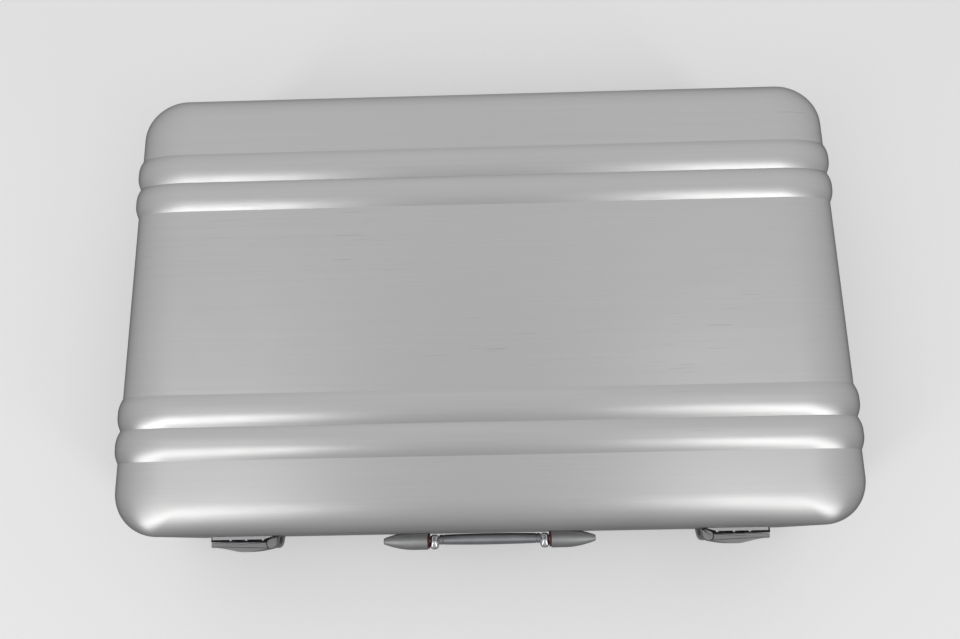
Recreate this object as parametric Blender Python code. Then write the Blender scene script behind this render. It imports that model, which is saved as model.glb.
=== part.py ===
"""Aluminium attache case: two deep-drawn ribbed shells on extruded frames, closed and lying flat on its base.

Run with: blender --background --python part.py
Frame: +X to the right along the length, -Y to the front with the handle and latches, +Z up.
The origin is at the centre of the footprint, at the height of the surface that the case lies on.
Sizes below are in millimetres, with Y from the middle of the shells. Every mesh is scaled to metres and moved
to the origin when it is made.
"""

import math

import bmesh
import bpy
from mathutils import Vector

MM = 0.001
GAP = 0.3  # between two pieces that touch

# ---- driving dimensions of the case -------------------------------------------------------------
LENGTH = 520.0
WIDTH = 330.0
BASE_DEPTH = 76.0
LID_DEPTH = 51.0
SHELL_WALL = 1.6
CORNER_RADIUS = 32.0  # seen from above
EDGE_SIDE = 40.0  # how far in from a side wall the face starts to curve down
EDGE_FRONT = 22.0  # the same from the front and back walls
EDGE_DROP = 14.0  # height of that curve
FACE_CORNER = (14.0, 10.0)  # corner radii of the flat face, along X and Y

BEAD_HEIGHT = 2.6
BEAD_WIDTH = 23.0
BEAD_START = 68.8  # from the middle of the face to the inner bead of each pair
BEAD_STEPS = 5  # an odd number, so that the crest is a flat strip
BEAD_FADE = 9.0  # height over which a bead runs out above the frame

FRAME_BAND = 10.0  # height of the band that shows on each side of the parting line
PARTING = BEAD_HEIGHT + BASE_DEPTH
HALF_X = LENGTH / 2
HALF_Y = WIDTH / 2
FRONT = -HALF_Y
BACK = HALF_Y
FRONT_REACH = 12.0  # how far the handle mounts stand out of the front wall
BACK_REACH = 6.0  # how far the feet stand out of the back wall
ORIGIN_SHIFT = (FRONT_REACH - BACK_REACH) / 2  # puts the origin in the middle of the whole footprint

# ---- handle --------------------------------------------------------------------------------------
HANDLE_AXIS_OUT = 5.4  # pivot axis in front of the wall
HANDLE_AXIS = (FRONT - HANDLE_AXIS_OUT, PARTING - 16.0)  # y, z
MOUNT_RADIUS = FRONT_REACH - HANDLE_AXIS_OUT
MOUNT_TIP_RADIUS = 2.3
MOUNT_STRAIGHT = 10.0  # length that is full width
MOUNT_INNER = 45.6  # from the middle of the case to the inner face of a mount
MOUNT_LENGTH = 32.9
BUSHING_WIDTH = 1.0
ARM_INNER = 37.7
ARM_OUTER = MOUNT_INNER - 2 * GAP - BUSHING_WIDTH
ARM_SPLAY = 2.1  # how far each leg leans outwards on its way down
SPLAY_DROPS = (8.0, 26.0)  # where that starts and ends, down from the axis
PIVOT_RADIUS = 2.4
PIVOT_DEPTH = 12.0
GRIP_DROP = 36.0  # from the pivot axis to the middle of the grip
GRIP_HEIGHT = 18.0
GRIP_THICK = 8.6
GRIP_SETBACK = 0.7  # its middle is this much nearer to the wall than the pivot axis

# ---- latches, described for the right-hand one. Outlines are (x, distance in front of the wall) ---
LATCH_INNER = 151.8
LATCH_OUTER = 199.8
LEVER_PIVOT = (156.3, 5.2)
NOSE_RADIUS = 3.6  # the fixed nose is round about the pivot, and the lever turns round it
NOSE_FRONT = ((152.6, 5.4), (152.2, 3.6), (151.9, 1.8), (LATCH_INNER, 0.7))
LEVER_BACK = 4.3
LEVER_FRONT = (
    (158.6, 8.9), (160.5, 9.4), (164.0, 10.1), (168.5, 10.8), (173.5, 11.2), (178.5, 11.1),
    (183.0, 10.3), (187.5, 9.3), (192.5, 8.4), (196.8, 7.9), (199.0, 7.9), (LATCH_OUTER, 7.3),
)
LEVER_TOP = 8.0  # heights from the parting line
LEVER_BOTTOM = -14.0
KNUCKLE_TOP = 1.0
KNUCKLE_BOTTOM = -9.5
KNUCKLE_RADIUS = 2.6
LEVER_PIN_RADIUS = 1.3
PLATE_INNER = 160.6
PLATE_OUTER = 203.0
PLATE_FRONT = 4.0
PLATE_TOP = -1.0
PLATE_BOTTOM = -38.5
KEEPER_FRONT = 2.5
KEEPER_OUTLINE = ((154.6, GAP), (154.6, 0.6), (160.7, KEEPER_FRONT), (197.4, KEEPER_FRONT), (197.4, GAP))
KEEPER_HEIGHTS = (1.5, 14.0)
KEEPER_RIBS = (161.6, 173.6, 184.8)
RIB_RADIUS = 0.9
NOSE_CLEARANCE = ((153.0, -0.5), (153.0, 0.75), (160.4, 3.25), (164.1, 3.25), (164.1, -0.5))

DIAL_RADIUS = 4.0
DIAL_WIDTH = 4.0
DIAL_PITCH = 6.4
DIAL_MIDDLE = 179.0
DIAL_AXIS = (FRONT - 5.2, PARTING - 31.0)  # y, z
DIAL_BLOCK = (11.5, 6.5)  # half its length and half its height
DIAL_BLOCK_FRONT = 7.8
DIAL_SLOT = 4.6
DIAL_AXLE_RADIUS = 1.0

# ---- hinges --------------------------------------------------------------------------------------
HINGE_AXIS = (BACK + 3.0, PARTING)  # y, z
HINGE_X = 165.0
HINGE_LENGTH = 64.0
HINGE_KNUCKLES = 5
HINGE_EYE = 2.6
HINGE_PIN_RADIUS = 1.1
LEAF_THICK = 1.4
LEAF_HEIGHT = 24.0

# ---- lid stays: a rhombus of hinge axis, base pivot, knuckle and lid pivot -----------------------
STAY_REACH = 75.0  # pivots in front of the hinge axis
STAY_OFFSET = 11.0  # pivots below and above the parting line
STAY_BRACKET_X = (249.2, 251.4)
STAY_LOWER_X = (246.6, 248.6)
STAY_UPPER_X = (243.6, 245.6)
STAY_WIDTH = 9.0
STAY_PIN_RADIUS = 1.8

# ---- feet ----------------------------------------------------------------------------------------
FOOT_X = 218.0
FOOT_RADIUS = 7.0
FOOT_HEIGHTS = (30.0, PARTING + 18.0)

# ---- interior ------------------------------------------------------------------------------------
LINER_OUT = 2.2  # offset of the liner's outer face from the shell's outer face
LINER_IN = 3.8
LINER_CLEAR_FRAME = 5.6
LINER_THICK = LINER_IN - LINER_OUT
LINER_TOP = -1.2  # liner rim from the parting line
PAD_HALF = (214.0, 138.0)  # half the floor pad's length and width
PAD_THICK = 7.0
BOARD_HALF = (216.0, 132.0)
BOARD_THICK = 3.0
POCKET_X = (-210.0, 210.0)  # document pocket, open towards the front of the case
POCKET_Y = (-62.0, 132.0)
POCKET_DEPTH = 12.0
POCKET_SIDE = 5.0
POCKET_FACE = 2.2
SMALL_THICK = 4.0  # card and folio pockets
CARD_POCKET = ((-196.0, -76.0), (18.0, 116.0))  # x and y
FOLIO_POCKET = ((-4.0, 196.0), (6.0, 116.0))
PEN_LOOPS = ((-64.0, -16.0), (40.0, 62.0))
PEN_X = (-54.0, -40.0, -26.0)
PEN_RADIUS = 3.8
PEN_DROP = 5.0  # pen axis from the face of the document pocket
LOOP_THICK = 10.0

ARC_STEPS = 6


# ---- materials -----------------------------------------------------------------------------------
def material(name, colour, metallic, roughness):
    made = bpy.data.materials.new(name)
    made.use_nodes = True
    made.diffuse_color = (*colour, 1.0)
    shader = made.node_tree.nodes["Principled BSDF"]
    shader.inputs["Base Color"].default_value = (*colour, 1.0)
    shader.inputs["Metallic"].default_value = metallic
    shader.inputs["Roughness"].default_value = roughness
    return made


def make_materials():
    table = {
        "brushed_aluminium": ((0.68, 0.68, 0.68), 1.0, 0.38),
        "frame_aluminium": ((0.62, 0.62, 0.63), 1.0, 0.3),
        "satin_casting": ((0.38, 0.39, 0.39), 1.0, 0.42),
        "polished_chrome": ((0.85, 0.85, 0.86), 1.0, 0.08),
        "stainless": ((0.6, 0.6, 0.61), 1.0, 0.25),
        "oxblood_nylon": ((0.16, 0.02, 0.03), 0.0, 0.45),
        "black_rubber": ((0.03, 0.03, 0.03), 0.0, 0.7),
        "grey_lining": ((0.1, 0.1, 0.11), 0.0, 0.9),
        "black_leather": ((0.03, 0.03, 0.032), 0.0, 0.55),
    }
    return {name: material(name, *values) for name, values in table.items()}


# ---- mesh helpers --------------------------------------------------------------------------------
def loft(rings, loop=False):
    """A bmesh through rings of equal length, with capped ends or, with loop, closed on itself."""
    bm = bmesh.new()
    rows = [[bm.verts.new([c * MM for c in point]) for point in ring] for ring in rings]
    count = len(rows[0])
    pairs = list(zip(rows, rows[1:]))
    if loop:
        pairs.append((rows[-1], rows[0]))
    for near, far in pairs:
        for i in range(count):
            j = (i + 1) % count
            bm.faces.new((near[i], near[j], far[j], far[i]))
    if not loop:
        bm.faces.new(rows[0])
        bm.faces.new(rows[-1])
    bmesh.ops.recalc_face_normals(bm, faces=bm.faces)
    return bm


def place(u, v, along, axis):
    """The point of (u, v) across an axis and along it. X takes (y, z), Y takes (x, z), Z takes (x, y)."""
    return {"X": (along, u, v), "Y": (u, along, v), "Z": (u, v, along)}[axis]


def prism(outline, axis, low, high):
    """A 2-D outline pushed straight along an axis."""
    return loft([[place(u, v, along, axis) for u, v in outline] for along in (low, high)])


def slab(x, y, z):
    """A box from three (low, high) pairs."""
    outline = [(x[0], y[0]), (x[1], y[0]), (x[1], y[1]), (x[0], y[1])]
    return prism(outline, "Z", z[0], z[1])


def circle(centre, radius, steps):
    turns = [math.tau * (i + 0.5) / steps for i in range(steps)]
    return [(centre[0] + radius * math.cos(a), centre[1] + radius * math.sin(a)) for a in turns]


def turned(profile, centre, axis, steps, loop=False):
    """A body turned about an axis. profile holds (radius, along) pairs."""
    rings = []
    for radius, along in profile:
        rings.append([place(u, v, along, axis) for u, v in circle(centre, radius, steps)])
    return loft(rings, loop)


def rod(centre, radius, axis, low, high, steps=16):
    return turned([(radius, low), (radius, high)], centre, axis, steps)


def tube(centre, outer, inner, axis, low, high, steps=16):
    profile = [(outer, low), (outer, high), (inner, high), (inner, low)]
    return turned(profile, centre, axis, steps, loop=True)


def mirrored(bm, side):
    """The bmesh on the right for side 1, or its mirror image on the left for side -1."""
    if side < 0:
        for vert in bm.verts:
            vert.co.x = -vert.co.x
        bmesh.ops.reverse_faces(bm, faces=bm.faces)
    return bm


# ---- scene helpers -------------------------------------------------------------------------------
def clear_scene():
    for obj in list(bpy.data.objects):
        bpy.data.objects.remove(obj)


def joint_empty(name, point):
    empty = bpy.data.objects.new(name, None)
    empty.location = (Vector(point) + Vector((0, ORIGIN_SHIFT, 0))) * MM
    bpy.context.scene.collection.objects.link(empty)
    return empty


def add(name, bm, finish, parent=None, sharp=35.0):
    """A named object from a bmesh in case coordinates. Its origin is on its parent empty, if it has one."""
    origin = parent.location if parent else Vector((0.0, 0.0, 0.0))
    bmesh.ops.translate(bm, verts=bm.verts, vec=Vector((0, ORIGIN_SHIFT * MM, 0)) - origin)
    mesh = bpy.data.meshes.new(name)
    bm.to_mesh(mesh)
    bm.free()
    mesh.shade_smooth()
    mesh.set_sharp_from_angle(angle=math.radians(sharp))
    mesh.materials.append(finish)
    obj = bpy.data.objects.new(name, mesh)
    bpy.context.scene.collection.objects.link(obj)
    if parent:
        obj.parent = parent
    return obj


def helper(bm, obj):
    """A hidden object that shapes obj, in the same place as obj."""
    made = add(f"{obj.name}_shaper_{len(obj.modifiers)}", bm, obj.data.materials[0], obj.parent)
    made.hide_render = True
    made.display_type = "WIRE"
    return made


def boolean(obj, operation, bm):
    modifier = obj.modifiers.new(operation.lower(), "BOOLEAN")
    modifier.operation = operation
    modifier.object = helper(bm, obj)


def join(obj, bm):
    boolean(obj, "UNION", bm)


def cut(obj, bm):
    boolean(obj, "DIFFERENCE", bm)


def bevel(obj, width, segments=1, angle=30.0):
    modifier = obj.modifiers.new("edge_bevel", "BEVEL")
    modifier.width = width * MM
    modifier.segments = segments
    modifier.limit_method = "ANGLE"
    modifier.angle_limit = math.radians(angle)


# ---- outlines seen from above --------------------------------------------------------------------
def corner(x_sign, y_sign, half_x, half_y, radius_x, radius_y):
    """The points of one rounded corner, in counter-clockwise order."""
    quadrant = {(1, 1): 0, (-1, 1): 1, (-1, -1): 2, (1, -1): 3}[(x_sign, y_sign)]
    centre_x = x_sign * (half_x - radius_x)
    centre_y = y_sign * (half_y - radius_y)
    points = []
    for step in range(ARC_STEPS + 1):
        angle = math.pi / 2 * (quadrant + step / ARC_STEPS)
        points.append((centre_x + radius_x * math.cos(angle), centre_y + radius_y * math.sin(angle)))
    return points


def rounded_outline(inset, inset_y=None, radius=None):
    """The case's outline, moved in from the walls."""
    half_x = HALF_X - inset
    half_y = HALF_Y - (inset if inset_y is None else inset_y)
    r = CORNER_RADIUS - inset if radius is None else radius
    points = []
    for signs in ((1, 1), (-1, 1), (-1, -1), (1, -1)):
        points += corner(*signs, half_x, half_y, r, r)
    return points


def rim_body(section):
    """A ring round the case whose section is a list of (inset, z)."""
    rings = []
    for inset, z in section:
        rings.append([(x, y, z) for x, y in rounded_outline(inset)])
    return loft(rings, loop=True)


# ---- shells --------------------------------------------------------------------------------------
def bead_samples():
    """(y, height) of each pair of beads across the face, from front to back."""
    pair = []
    for bead in range(2):
        for step in range(BEAD_STEPS + 1):
            across = 2 * step / BEAD_STEPS - 1
            crest = 1 - (1 / BEAD_STEPS) ** 2
            height = BEAD_HEIGHT * (1 - across**2) / crest
            y = BEAD_START + BEAD_WIDTH * (bead + (across + 1) / 2)
            if not (bead and step == 0):
                pair.append((y, height))
    return [(-y, height) for y, height in reversed(pair)] + pair


def shell_levels(depth):
    """The rings of a shell: (inset share, height above the parting line, normal x, normal z, bead share)."""
    wall_top = depth - EDGE_DROP
    rim = FRAME_BAND + GAP
    levels = [(0.0, rim, 1.0, 0.0, 0.0), (0.0, rim + BEAD_FADE, 1.0, 0.0, 1.0)]
    for step in range(ARC_STEPS + 1):
        angle = math.pi / 2 * step / ARC_STEPS
        normal = Vector((math.cos(angle) / EDGE_SIDE, math.sin(angle) / EDGE_DROP)).normalized()
        height = wall_top + EDGE_DROP * math.sin(angle)
        levels.append((1 - math.cos(angle), height, normal.x, normal.y, 1.0))
    return levels


def shell_ring(share, height, normal_x, normal_z, bead_share):
    """One ring of a shell, counter-clockwise from the front of the right-hand side."""
    half_x = HALF_X - EDGE_SIDE * share
    half_y = HALF_Y - EDGE_FRONT * share
    radius_x = CORNER_RADIUS + (FACE_CORNER[0] - CORNER_RADIUS) * share
    radius_y = CORNER_RADIUS + (FACE_CORNER[1] - CORNER_RADIUS) * share
    side = []
    for y, bead in bead_samples():
        lift = bead * bead_share
        side.append((half_x + lift * normal_x, y, height + lift * normal_z))
    corners = {}
    for signs in ((1, 1), (-1, 1), (-1, -1), (1, -1)):
        arc = corner(*signs, half_x, half_y, radius_x, radius_y)
        corners[signs] = [(x, y, height) for x, y in arc]
    left = [(-x, y, z) for x, y, z in reversed(side)]
    return side + corners[1, 1] + corners[-1, 1] + left + corners[-1, -1] + corners[1, -1]


def shell_surface(depth, direction):
    """The outer skin of a shell, open at its rim. direction is 1 for the lid and -1 for the base."""
    bm = bmesh.new()
    rows = []
    for level in shell_levels(depth):
        ring = shell_ring(*level)
        rows.append([bm.verts.new((x * MM, y * MM, (PARTING + direction * z) * MM)) for x, y, z in ring])
    count = len(rows[0])
    for near, far in zip(rows, rows[1:]):
        for i in range(count):
            j = (i + 1) % count
            bm.faces.new((near[i], near[j], far[j], far[i]))
    top = rows[-1]
    samples = len(bead_samples())
    arc = ARC_STEPS + 1
    left = samples + 2 * arc
    for i in range(samples - 1):
        bm.faces.new((top[i], top[i + 1], top[left + samples - 2 - i], top[left + samples - 1 - i]))
    bm.faces.new(top[samples - 1 : left + 1])
    bm.faces.new(top[left + samples - 1 :] + top[:1])
    bmesh.ops.recalc_face_normals(bm, faces=bm.faces)
    if max(bm.faces, key=lambda f: f.calc_area()).normal.z * direction < 0:
        bmesh.ops.reverse_faces(bm, faces=bm.faces)
    return bm


def make_shell(name, depth, direction, finish, parent=None):
    obj = add(name, shell_surface(depth, direction), finish, parent)
    solidify = obj.modifiers.new("sheet", "SOLIDIFY")
    solidify.thickness = SHELL_WALL * MM
    solidify.offset = -1.0
    solidify.use_even_offset = True
    return obj


# ---- frames and seal -----------------------------------------------------------------------------
def frame_section(direction, lip):
    """A frame's section: a band flush with the shell, a lip on its mating face and a flange inside."""
    flange_out = SHELL_WALL + GAP
    flange_in = flange_out + 2.0
    band_in = 5.2
    flange = FRAME_BAND + 10.0
    section = [(0.0, GAP), *lip, (band_in, GAP), (band_in, FRAME_BAND), (flange_in, FRAME_BAND)]
    section += [(flange_in, flange), (flange_out, flange), (flange_out, FRAME_BAND), (0.0, FRAME_BAND)]
    return [(inset, PARTING + direction * z) for inset, z in section]


def make_frames(finishes, lid_joint):
    groove = [(1.5, GAP), (1.5, 2.8), (3.7, 2.8), (3.7, GAP)]
    tongue = [(2.1, GAP), (2.1, -1.2), (3.1, -1.2), (3.1, GAP)]
    add("base_frame", rim_body(frame_section(-1, groove)), finishes["frame_aluminium"])
    add("lid_frame", rim_body(frame_section(1, tongue)), finishes["frame_aluminium"], lid_joint)
    seal = [(1.8, PARTING - 2.5), (3.4, PARTING - 2.5), (3.4, PARTING - 1.6), (1.8, PARTING - 1.6)]
    add("frame_gasket", rim_body(seal), finishes["black_rubber"])


# ---- linings -------------------------------------------------------------------------------------
def liner_rings(depth, direction, offset, clear):
    """Rings of one face of a lining, from its rim to its floor."""
    rings = [(clear, clear, -LINER_TOP)]
    for step in range(ARC_STEPS + 1):
        angle = math.pi / 2 * step / ARC_STEPS
        along = 1 - math.cos(angle)
        inset_x = max(clear, offset + (EDGE_SIDE - offset) * along)
        inset_y = max(clear, offset + (EDGE_FRONT - offset) * along)
        rise = depth - offset - (EDGE_DROP - offset) * (1 - math.sin(angle))
        rings.append((inset_x, inset_y, rise))
    made = []
    for inset_x, inset_y, rise in rings:
        radius = CORNER_RADIUS - 0.45 * inset_x
        outline = rounded_outline(inset_x, inset_y, radius)
        made.append([(x, y, PARTING + direction * rise) for x, y in outline])
    return made


def make_liner(name, depth, direction, finish, parent=None):
    outer = liner_rings(depth, direction, LINER_OUT, LINER_CLEAR_FRAME)
    inner = liner_rings(depth, direction, LINER_IN, LINER_CLEAR_FRAME + LINER_THICK)
    add(name, loft(list(reversed(outer)) + inner), finish, parent)


def soft_slab(x, y, z, radius, edge):
    """A slab with rounded corners seen from above and a softened edge."""
    middle_x, middle_y = sum(x) / 2, sum(y) / 2
    half_x, half_y = (x[1] - x[0]) / 2, (y[1] - y[0]) / 2
    rings = []
    for inset, height in ((edge, z[0]), (0.0, z[0] + edge), (0.0, z[1] - edge), (edge, z[1])):
        ring = []
        for signs in ((1, 1), (-1, 1), (-1, -1), (1, -1)):
            arc = corner(*signs, half_x - inset, half_y - inset, radius - inset, radius - inset)
            ring += [(middle_x + px, middle_y + py, height) for px, py in arc[::2]]
        rings.append(ring)
    return loft(rings)


def plus_minus(half):
    """(low, high) pairs along X and Y from half sizes."""
    return (-half[0], half[0]), (-half[1], half[1])


def make_interior(finishes, lid_joint):
    lining, leather = finishes["grey_lining"], finishes["black_leather"]
    make_liner("base_liner", BASE_DEPTH, -1, lining)
    make_liner("lid_liner", LID_DEPTH, 1, lining, lid_joint)

    floor = PARTING - BASE_DEPTH + LINER_IN + GAP
    pad = soft_slab(*plus_minus(PAD_HALF), (floor, floor + PAD_THICK), 16, 2.5)
    add("base_floor_pad", pad, lining)

    ceiling = PARTING + LID_DEPTH - LINER_IN - GAP
    board = (ceiling - BOARD_THICK, ceiling)
    add("organiser_board", soft_slab(*plus_minus(BOARD_HALF), board, 14, 0.8), leather, lid_joint)

    face = board[0] - GAP - POCKET_DEPTH
    body = soft_slab(POCKET_X, POCKET_Y, (face, board[0] - GAP), 10, 1.2)
    pocket = add("document_pocket", body, leather, lid_joint)
    inside_x = (POCKET_X[0] + POCKET_SIDE, POCKET_X[1] - POCKET_SIDE)
    inside_y = (POCKET_Y[0] - 8.0, POCKET_Y[1] - POCKET_SIDE)
    cut(pocket, slab(inside_x, inside_y, (face + POCKET_FACE, board[0] + 1)))

    small = (face - GAP - SMALL_THICK, face - GAP)
    add("card_pocket", soft_slab(*CARD_POCKET, small, 8, 1.2), leather, lid_joint)
    add("folio_pocket", soft_slab(*FOLIO_POCKET, small, 8, 1.2), leather, lid_joint)
    strip = soft_slab(*PEN_LOOPS, (small[1] - LOOP_THICK, small[1]), 3, 1.0)
    loops = add("pen_loops", strip, leather, lid_joint)
    for middle in PEN_X:
        bore = (PEN_LOOPS[1][0] - 10, PEN_LOOPS[1][1] + 10)
        cut(loops, rod((middle, small[1] - PEN_DROP), PEN_RADIUS, "Y", *bore, 10))


# ---- hinges --------------------------------------------------------------------------------------
def make_hinges(finishes, lid_joint):
    width = HINGE_LENGTH / HINGE_KNUCKLES
    plate_y = (BACK + GAP, BACK + GAP + LEAF_THICK)
    for side, label in ((-1, "left"), (1, "right")):
        start = side * HINGE_X - HINGE_LENGTH / 2
        for direction, part, parent in ((-1, "base", None), (1, "lid", lid_joint)):
            near, far = sorted((PARTING + direction * 3.4, PARTING + direction * LEAF_HEIGHT))
            leaf = add(
                f"hinge_{part}_leaf_{label}",
                slab((start, start + HINGE_LENGTH), plate_y, (near, far)),
                finishes["stainless"],
                parent,
            )
            for knuckle in range(HINGE_KNUCKLES):
                if (knuckle % 2 == 0) != (part == "base"):
                    continue
                x = (start + knuckle * width + GAP / 2, start + (knuckle + 1) * width - GAP / 2)
                web = sorted((PARTING, PARTING + direction * 6.0))
                join(leaf, slab(x, plate_y, web))
                join(leaf, rod(HINGE_AXIS, HINGE_EYE, "X", *x))
            cut(leaf, rod(HINGE_AXIS, HINGE_PIN_RADIUS + GAP, "X", start - 1, start + HINGE_LENGTH + 1, 12))
        ends = (start - 0.6, start + HINGE_LENGTH + 0.6)
        add(f"hinge_pin_{label}", rod(HINGE_AXIS, HINGE_PIN_RADIUS, "X", *ends, 12), finishes["stainless"])


# ---- lid stays -----------------------------------------------------------------------------------
def link_outline(start, end):
    """A bar with round ends between two pivots, as (y, z) points."""
    along = math.atan2(end[1] - start[1], end[0] - start[0])
    points = []
    for centre, turn in ((end, along - math.pi / 2), (start, along + math.pi / 2)):
        for step in range(ARC_STEPS + 1):
            angle = turn + math.pi * step / ARC_STEPS
            y = centre[0] + STAY_WIDTH / 2 * math.cos(angle)
            z = centre[1] + STAY_WIDTH / 2 * math.sin(angle)
            points.append((y, z))
    return points


def bracket_outline(pivot, direction):
    """A tab from its pivot towards the shell's face, as (y, z) points."""
    half = 9.0
    y, z = pivot
    far = z + direction * 14.0
    near = z - direction * 5.0
    return [(y - half, far), (y + half, far), (y + half, z), (y + 5, near), (y - 5, near), (y - half, z)]


def make_stays(finishes, lid_joint):
    steel = finishes["stainless"]
    hinge_y, hinge_z = HINGE_AXIS
    base_pivot = (hinge_y - STAY_REACH, hinge_z - STAY_OFFSET)
    lid_pivot = (hinge_y - STAY_REACH, hinge_z + STAY_OFFSET)
    knuckle = (hinge_y - 2 * STAY_REACH, hinge_z)
    hole = STAY_PIN_RADIUS + GAP
    pin_end = STAY_UPPER_X[0] - 0.8
    for side, label in ((-1, "left"), (1, "right")):
        lower_joint = joint_empty(f"joint_stay_lower_{label}", (0, *base_pivot))
        upper_joint = joint_empty(f"joint_stay_upper_{label}", (0, *knuckle))

        base = prism(bracket_outline(base_pivot, -1), "X", *STAY_BRACKET_X)
        bracket = add(f"stay_base_bracket_{label}", mirrored(base, side), steel)
        pin = rod(base_pivot, STAY_PIN_RADIUS, "X", STAY_LOWER_X[0], STAY_BRACKET_X[1] - 0.5, 12)
        join(bracket, mirrored(pin, side))

        lower = prism(link_outline(base_pivot, knuckle), "X", *STAY_LOWER_X)
        link = add(f"stay_lower_link_{label}", mirrored(lower, side), steel, lower_joint)
        cut(link, mirrored(rod(base_pivot, hole, "X", STAY_LOWER_X[0] - 1, STAY_LOWER_X[1] + 1, 12), side))
        join(link, mirrored(rod(knuckle, STAY_PIN_RADIUS, "X", pin_end, STAY_LOWER_X[1] - 0.5, 12), side))

        upper = prism(link_outline(lid_pivot, knuckle), "X", *STAY_UPPER_X)
        link = add(f"stay_upper_link_{label}", mirrored(upper, side), steel, upper_joint)
        for pivot in (lid_pivot, knuckle):
            cut(link, mirrored(rod(pivot, hole, "X", STAY_UPPER_X[0] - 1, STAY_UPPER_X[1] + 1, 12), side))

        lid = prism(bracket_outline(lid_pivot, 1), "X", *STAY_BRACKET_X)
        bracket = add(f"stay_lid_bracket_{label}", mirrored(lid, side), steel, lid_joint)
        pin = rod(lid_pivot, STAY_PIN_RADIUS, "X", pin_end, STAY_BRACKET_X[1] - 0.5, 12)
        join(bracket, mirrored(pin, side))


# ---- handle --------------------------------------------------------------------------------------
def mount_profile():
    """A bullet: full width for its first part, then drawn in to a blunt tip."""
    steps = 8
    profile = [(MOUNT_RADIUS, MOUNT_INNER)]
    for step in range(steps + 1):
        share = step / steps
        radius = MOUNT_RADIUS - (MOUNT_RADIUS - MOUNT_TIP_RADIUS) * share**1.9
        profile.append((radius, MOUNT_INNER + MOUNT_STRAIGHT + (MOUNT_LENGTH - MOUNT_STRAIGHT) * share))
    return profile


def arm_body():
    """An arm: a rounded hub on the pivot axis and a leg that leans outwards on its way down to the grip."""
    leg = GRIP_DROP + GRIP_HEIGHT / 2 - 1.5
    start, end = SPLAY_DROPS
    levels = [(4.5, -2.9, 1.9), (2.7, -5.6, 3.6), (0.0, -6.6, 4.3), (-4.5, -6.2, 4.3), (-start, -5.4, 4.2)]
    levels += [(-12.0, -4.6, 4.2), (-end, -3.2, 4.1), (3 - leg, -2.8, 4.0), (-leg, -1.0, 2.2)]
    rings = []
    for rise, front, back in levels:
        lean = ARM_SPLAY * (min(max(-rise, start), end) - start) / (end - start)
        near_x, far_x = ARM_INNER + lean, ARM_OUTER + lean
        near_y, far_y, z = HANDLE_AXIS[0] + front, HANDLE_AXIS[0] + back, HANDLE_AXIS[1] + rise
        rings.append([(near_x, near_y, z), (far_x, near_y, z), (far_x, far_y, z), (near_x, far_y, z)])
    return loft(rings)


def grip_rings():
    """Sections of the grip along X: a flat oval, a little fuller in the middle."""
    rings = []
    stations = 9
    end = ARM_INNER + ARM_SPLAY - GAP
    middle_y = HANDLE_AXIS[0] + GRIP_SETBACK
    middle_z = HANDLE_AXIS[1] - GRIP_DROP
    for station in range(stations):
        share = 2 * station / (stations - 1) - 1
        fullness = 1 - 0.14 * share**2
        ring = []
        for y, z in circle((0.0, 0.0), 1.0, 16):
            ring.append(
                (
                    share * end,
                    middle_y + GRIP_THICK / 2 * fullness * math.copysign(abs(y) ** 0.75, y),
                    middle_z + GRIP_HEIGHT / 2 * fullness * math.copysign(abs(z) ** 0.75, z),
                )
            )
        rings.append(ring)
    return rings


def make_handle(finishes):
    casting, chrome = finishes["satin_casting"], finishes["polished_chrome"]
    joint = joint_empty("joint_handle", (0, *HANDLE_AXIS))
    hidden = (FRONT - GAP, FRONT + 10)  # what would reach into the wall
    for side, label in ((-1, "left"), (1, "right")):
        bullet = turned(mount_profile(), HANDLE_AXIS, "X", 20)
        mount = add(f"handle_mount_{label}", mirrored(bullet, side), casting)
        z_range = (HANDLE_AXIS[1] - 10, HANDLE_AXIS[1] + 10)
        cut(mount, mirrored(slab((MOUNT_INNER - 1, MOUNT_INNER + 40), hidden, z_range), side))
        bore = rod(HANDLE_AXIS, PIVOT_RADIUS + GAP, "X", MOUNT_INNER - 1, MOUNT_INNER + PIVOT_DEPTH, 12)
        cut(mount, mirrored(bore, side))

        ring_radii = MOUNT_RADIUS - 0.7, PIVOT_RADIUS + GAP
        ring = tube(HANDLE_AXIS, *ring_radii, "X", ARM_OUTER + GAP, MOUNT_INNER - GAP, 20)
        bushing = add(f"handle_bushing_{label}", mirrored(ring, side), finishes["oxblood_nylon"])
        cut(bushing, mirrored(slab((ARM_OUTER - 1, MOUNT_INNER + 1), hidden, z_range), side))

        arm = add(
            f"handle_arm_{label}",
            mirrored(arm_body(), side),
            chrome,
            joint,
        )
        bevel(arm, 0.8, 2, 50.0)
        pin = rod(HANDLE_AXIS, PIVOT_RADIUS, "X", ARM_OUTER - 2, MOUNT_INNER + PIVOT_DEPTH - 1, 12)
        join(arm, mirrored(pin, side))
    add("handle_grip", loft(grip_rings()), casting, joint)


# ---- latches -------------------------------------------------------------------------------------
def on_wall(outline):
    """(x, distance in front of the wall) pairs as (x, y) points."""
    return [(x, FRONT - out) for x, out in outline]


def nose_outline():
    """The fixed nose from above: round about the pivot, and drawn in to the wall at its inner end."""
    x, out = LEVER_PIVOT
    points = []
    for step in range(12):
        angle = math.radians(-70 + 20 * step)
        points.append((x + NOSE_RADIUS * math.cos(angle), out + NOSE_RADIUS * math.sin(angle)))
    return on_wall([*points, *NOSE_FRONT, (LATCH_INNER, GAP), (x + 2.5, GAP)])


def lever_outline():
    """The lever from above: straight at the back, fullest in the middle of its front, with an end lip."""
    return on_wall([(LEVER_PIVOT[0] + 0.8, LEVER_BACK), (LATCH_OUTER, LEVER_BACK), *reversed(LEVER_FRONT)])


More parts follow.
